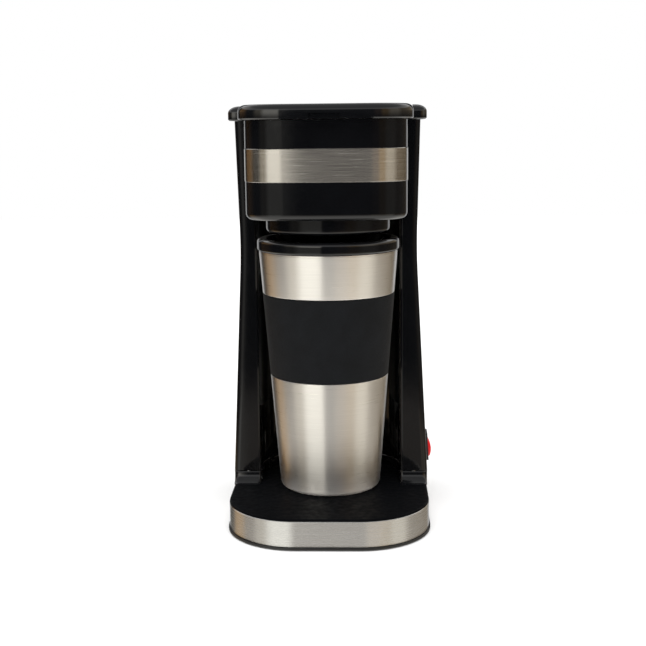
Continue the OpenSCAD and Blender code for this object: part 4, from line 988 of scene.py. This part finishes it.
class COFFEE_OT_lid(bpy.types.Operator):
    """Model the lid and finish its liner, seal and shower plate"""
    bl_idname = "coffee.lid"
    bl_label = "Lid"
    bl_options = {"REGISTER", "UNDO"}

    def execute(self, context):
        tower, head = settings("tower", "head")
        top, low = LID_HIGH.z, LID_LOW.z
        thick, half, lead = top - low, head.lid_width / 2, head.lid_lead
        hinge_y = LID_HIGH.y - thick / 2
        path = [(lead, low), (0, low + lead)]
        path += [(head.lid_round * (1 - c), top - head.lid_round * (1 - s)) for c, s in quarter(10)]
        lid = loft("lid_moulding", stacked(lambda inset: self.corners(head, inset, hinge_y), path))
        radius = thick / 2 - CLEAR / 2
        barrel = revolved("barrel", [(0, -half), (radius, -half), (radius, half), (0, half)], 0, 64)
        barrel.matrix_world = (Matrix.Translation((0, hinge_y, low + thick / 2))
                               @ Matrix.Rotation(math.pi / 2, 4, "Y"))
        combine(lid, barrel, "UNION")
        inside = rounded(self.corners(head, tower.wall, hinge_y - thick / 2 - MM, 3 * MM))
        hollow = loft("hollow", [at_height(inside, low - MM), at_height(inside, top - tower.wall)])
        combine(lid, hollow, "DIFFERENCE")
        notch = head.notch_width / 2
        cut = block("notch", (-notch, LID_LOW.y - MM, low - MM),
                    (notch, LID_LOW.y + MM, low + head.notch_height))
        combine(lid, cut, "DIFFERENCE")
        soften(lid)
        fit(lid, "lid", ["lid_cover"], "gloss_black")
        finish_nodes(["lid_liner"], "matte_black")
        finish_nodes(["lid_seal"], "silicone")
        finish_nodes(["lid_screws", "shower_plate"], "screw_steel")
        return {"FINISHED"}

    def corners(self, head, inset, back, back_radius=LEAST_RADIUS):
        """Plan of the lid, set in by an inset, up to a line behind."""
        x, front = head.lid_width / 2 - inset, LID_LOW.y + inset
        radius = head.front_radius + 3 * MM - inset
        return [(-x, front, radius), (x, front, radius), (x, back, back_radius), (-x, back, back_radius)]


class COFFEE_OT_mug(bpy.types.Operator):
    """Model the travel mug with its grip and lid"""
    bl_idname = "coffee.mug"
    bl_label = "Mug"
    bl_options = {"REGISTER", "UNDO"}

    def execute(self, context):
        mug = context.scene.maker_mug
        fit(self.shell(mug), "mug", ["mug_shell"], "mug_steel")
        fit(self.grip(mug), "mug", ["mug_grip"], "grip_rubber")
        fit(self.cap(mug), "mug_cap", ["mug_lid"], "gloss_black")
        finish_nodes(["mug_liner", "mug_floor"], "mug_steel")
        finish_nodes(["mug_lid_seal"], "silicone")
        finish_nodes(["sip_slider"], "gloss_black")
        return {"FINISHED"}

    def radius_at(self, mug, z):
        """Outer radius of the mug's wall at a height."""
        slope = (mug.top_radius - mug.foot_radius) / (CAP_HIGH.z - mug.cap_ring - SHELL_LOW.z)
        return mug.foot_radius + slope * (z - SHELL_LOW.z)

    def shell(self, mug):
        """Steel outer wall: rounded foot, recess for the grip and rolled edges beside it."""
        def out(z, inset=0.0):
            return (self.radius_at(mug, z) - inset, z)

        low, high, straight = SHELL_LOW.z, SHELL_HIGH.z, SHELL_LOW.z + 20 * MM
        grip_low, grip_high = GRIP_LOW.z, GRIP_HIGH.z
        sheet, sink = mug.wall, mug.grip_depth + CLEAR / 2
        edge_low, edge_high = 0.8 * MM, 0.9 * MM
        profile = [(mug.sole, low)]
        profile += profile_arc((mug.sole, low), out(low), out(straight), mug.foot_round)
        profile += profile_arc(out(straight), out(grip_low), out(grip_low, sink), edge_low)
        profile += [out(grip_low, sink), out(grip_high, sink)]
        profile += profile_arc(out(grip_high, sink), out(grip_high), out(high), edge_high)
        profile += [out(high), out(high, sheet), out(grip_high + MM, sheet),
                    out(grip_high - MM, sheet + sink), out(grip_low + MM, sheet + sink),
                    out(grip_low - MM, sheet)]
        profile += profile_arc(out(straight, sheet), out(low + sheet, sheet), (mug.sole, low + sheet),
                               mug.foot_round - sheet)
        profile += [(mug.sole, low + sheet)]
        return revolved("mug_body", profile, MUG_Y, 192)

    def grip(self, mug):
        """Rubber sleeve in the recess, with rounded ends."""
        low, high, edge = GRIP_LOW.z, GRIP_HIGH.z, 0.7 * MM
        in_low, in_high = [self.radius_at(mug, z) - mug.grip_depth for z in (low, high)]
        out_low, out_high = [self.radius_at(mug, z) + CLEAR / 2 for z in (low, high)]
        profile = [(in_low, low)]
        profile += profile_arc((in_low, low), (out_low, low), (out_high, high), edge)
        profile += profile_arc((out_low, low), (out_high, high), (in_high, high), edge)
        profile += [(in_high, high)]
        return revolved("grip_sleeve", profile, MUG_Y, 192)

    def cap(self, mug):
        """Mug lid: rounded ring, dished top, plug, drip hole and sip opening."""
        top, ring_low, plug_low = CAP_HIGH.z, CAP_HIGH.z - mug.cap_ring, CAP_LOW.z
        radius, plug, sheet, wall = CAP_HIGH.x, mug.plug, 1.6 * MM, 2 * MM
        dish, far = ring_low + 2.4 * MM, 10 * MM
        profile = [(0, dish - sheet), (plug - wall, dish - sheet), (plug - wall, plug_low),
                   (plug, plug_low), (plug, ring_low - 0.6 * MM), (plug + MM, ring_low)]
        profile += profile_arc((plug, ring_low), (radius, ring_low), (radius, top), 1.4 * MM)
        profile += profile_arc((radius, ring_low), (radius, top), (0, top), 2.6 * MM, 10)
        profile += profile_arc((radius, top), (radius - 6 * MM, top), (radius - 7 * MM, dish), MM)
        profile += [(radius - 8 * MM, dish), (0, dish)]
        cap = revolved("mug_cap_moulding", profile, MUG_Y, 192)
        drip = revolved("drip", [(0, dish - far), (mug.drip_hole, dish - far),
                                 (mug.drip_hole, dish + far), (0, dish + far)], MUG_Y, 48)
        combine(cap, drip, "DIFFERENCE")
        sip_y, x, y = MUG_Y - mug.sip_place, mug.sip_width / 2, mug.sip_depth / 2
        sip = block("sip", (-x, sip_y - y, dish - far), (x, sip_y + y, dish + far / 2))
        combine(cap, sip, "DIFFERENCE")
        return cap


class COFFEE_OT_switch(bpy.types.Operator):
    """Finish the switch's bezel and model its rocker"""
    bl_idname = "coffee.switch"
    bl_label = "Switch"
    bl_options = {"REGISTER", "UNDO"}

    def execute(self, context):
        switch = context.scene.maker_switch
        finish_nodes(["switch_housing"], "matte_black")
        fit(self.rocker(switch), "rocker", ["switch_rocker"], "rocker_red")
        return {"FINISHED"}

    def rocker(self, switch):
        """Domed rocker: the overlap of a wide and a narrow round, with softened ends."""
        base, tower = settings("base", "tower")
        low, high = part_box("switch_rocker")
        out = (tower.foot_width - tower.waist_width) / 2
        lean = math.atan(out / (tower.waist_height - base.seam))
        pivot_x = tower.foot_width / 2 - (switch.height - base.seam) * math.tan(lean)
        middle, half, edge = (low.y + high.y) / 2, (high.y - low.y) / 2, switch.edge
        arcs = quarter(6)
        rings = []
        for side, rounding in ((-1, arcs), (1, arcs[::-1])):
            for c, s in rounding:
                place = side * (half - edge * (1 - c))
                rings.append([Vector((x, place, z)) for x, z in self.section(switch, edge * (1 - s))])
        rocker = loft("rocker_cap", rings)
        turn = Matrix.Rotation(-lean - switch.swing / 2, 4, "Y")
        rocker.data.transform(Matrix.Translation((pivot_x, middle, switch.height)) @ turn)
        return rocker

    def section(self, switch, inset):
        """Side profile of the rocker, as (x, z) pairs."""
        radius, face, reach = switch.radius - inset, switch.face_radius - inset, switch.reach
        centre = reach - switch.face_radius
        points, steps = [], 24
        for i in range(steps + 1):
            t = math.pi * (i / steps - 0.5)
            direction = Vector((math.cos(t), math.sin(t)))
            slide = direction.x * centre
            along = min(radius, slide + math.sqrt(slide ** 2 - centre ** 2 + face ** 2))
            points.append((along * direction.x, along * direction.y))
        back = inset - switch.depth
        points += [(back, points[-1][1] * 0.9), (back, points[0][1] * 0.9)]
        return points


class COFFEE_OT_works(bpy.types.Operator):
    """Finish the tank, hoses, heater and wiring inside"""
    bl_idname = "coffee.works"
    bl_label = "Works"
    bl_options = {"REGISTER", "UNDO"}

    def execute(self, context):
        finish_nodes(["water_tank"], "tank_plastic")
        finish_nodes(["tank_seal", "inlet_hose", "riser_hose"], "silicone")
        finish_nodes(["check_valve", "spout_elbow", "thermal_fuses", "terminal_block", "lead_wires"],
                     "white_plastic")
        finish_nodes(["hose_clamps", "heating_rod", "heater_straps", "heater_screws"], "screw_steel")
        finish_nodes(["heater_body"], "cast_aluminium")
        finish_nodes(["thermostat"], "matte_black")
        return {"FINISHED"}


class COFFEE_PT_panel(bpy.types.Panel):
    """Lists the maker's pieces"""
    bl_idname = "COFFEE_PT_panel"
    bl_label = "Drip Coffee Maker"
    bl_space_type = "VIEW_3D"
    bl_region_type = "UI"
    bl_category = "Coffee Maker"

    def draw(self, context):
        for operator in OPERATORS:
            self.layout.operator(operator.bl_idname)
        for name in SETTINGS:
            box = self.layout.box()
            group = getattr(context.scene, name)
            for key in group.__annotations__:
                box.prop(group, key)


OPERATORS = (COFFEE_OT_studio, COFFEE_OT_base, COFFEE_OT_tower, COFFEE_OT_head, COFFEE_OT_lid,
             COFFEE_OT_mug, COFFEE_OT_switch, COFFEE_OT_works)
SETTINGS = {
    "maker_studio": StudioSettings,
    "maker_base": BaseSettings,
    "maker_tower": TowerSettings,
    "maker_head": HeadSettings,
    "maker_mug": MugSettings,
    "maker_switch": SwitchSettings,
    "maker_finishes": FinishSettings,
}


def register():
    for name, group in SETTINGS.items():
        bpy.utils.register_class(group)
        setattr(bpy.types.Scene, name, PointerProperty(type=group))
    for item in (*OPERATORS, COFFEE_PT_panel):
        bpy.utils.register_class(item)


def unregister():
    for item in reversed((*OPERATORS, COFFEE_PT_panel)):
        bpy.utils.unregister_class(item)
    for name, group in reversed(SETTINGS.items()):
        delattr(bpy.types.Scene, name)
        bpy.utils.unregister_class(group)


def main():
    register()
    make_materials()
    bpy.ops.coffee.studio()
    bpy.ops.coffee.base()
    bpy.ops.coffee.tower()
    bpy.ops.coffee.head()
    bpy.ops.coffee.lid()
    bpy.ops.coffee.mug()
    bpy.ops.coffee.switch()
    bpy.ops.coffee.works()


if __name__ == "__main__":
    main()
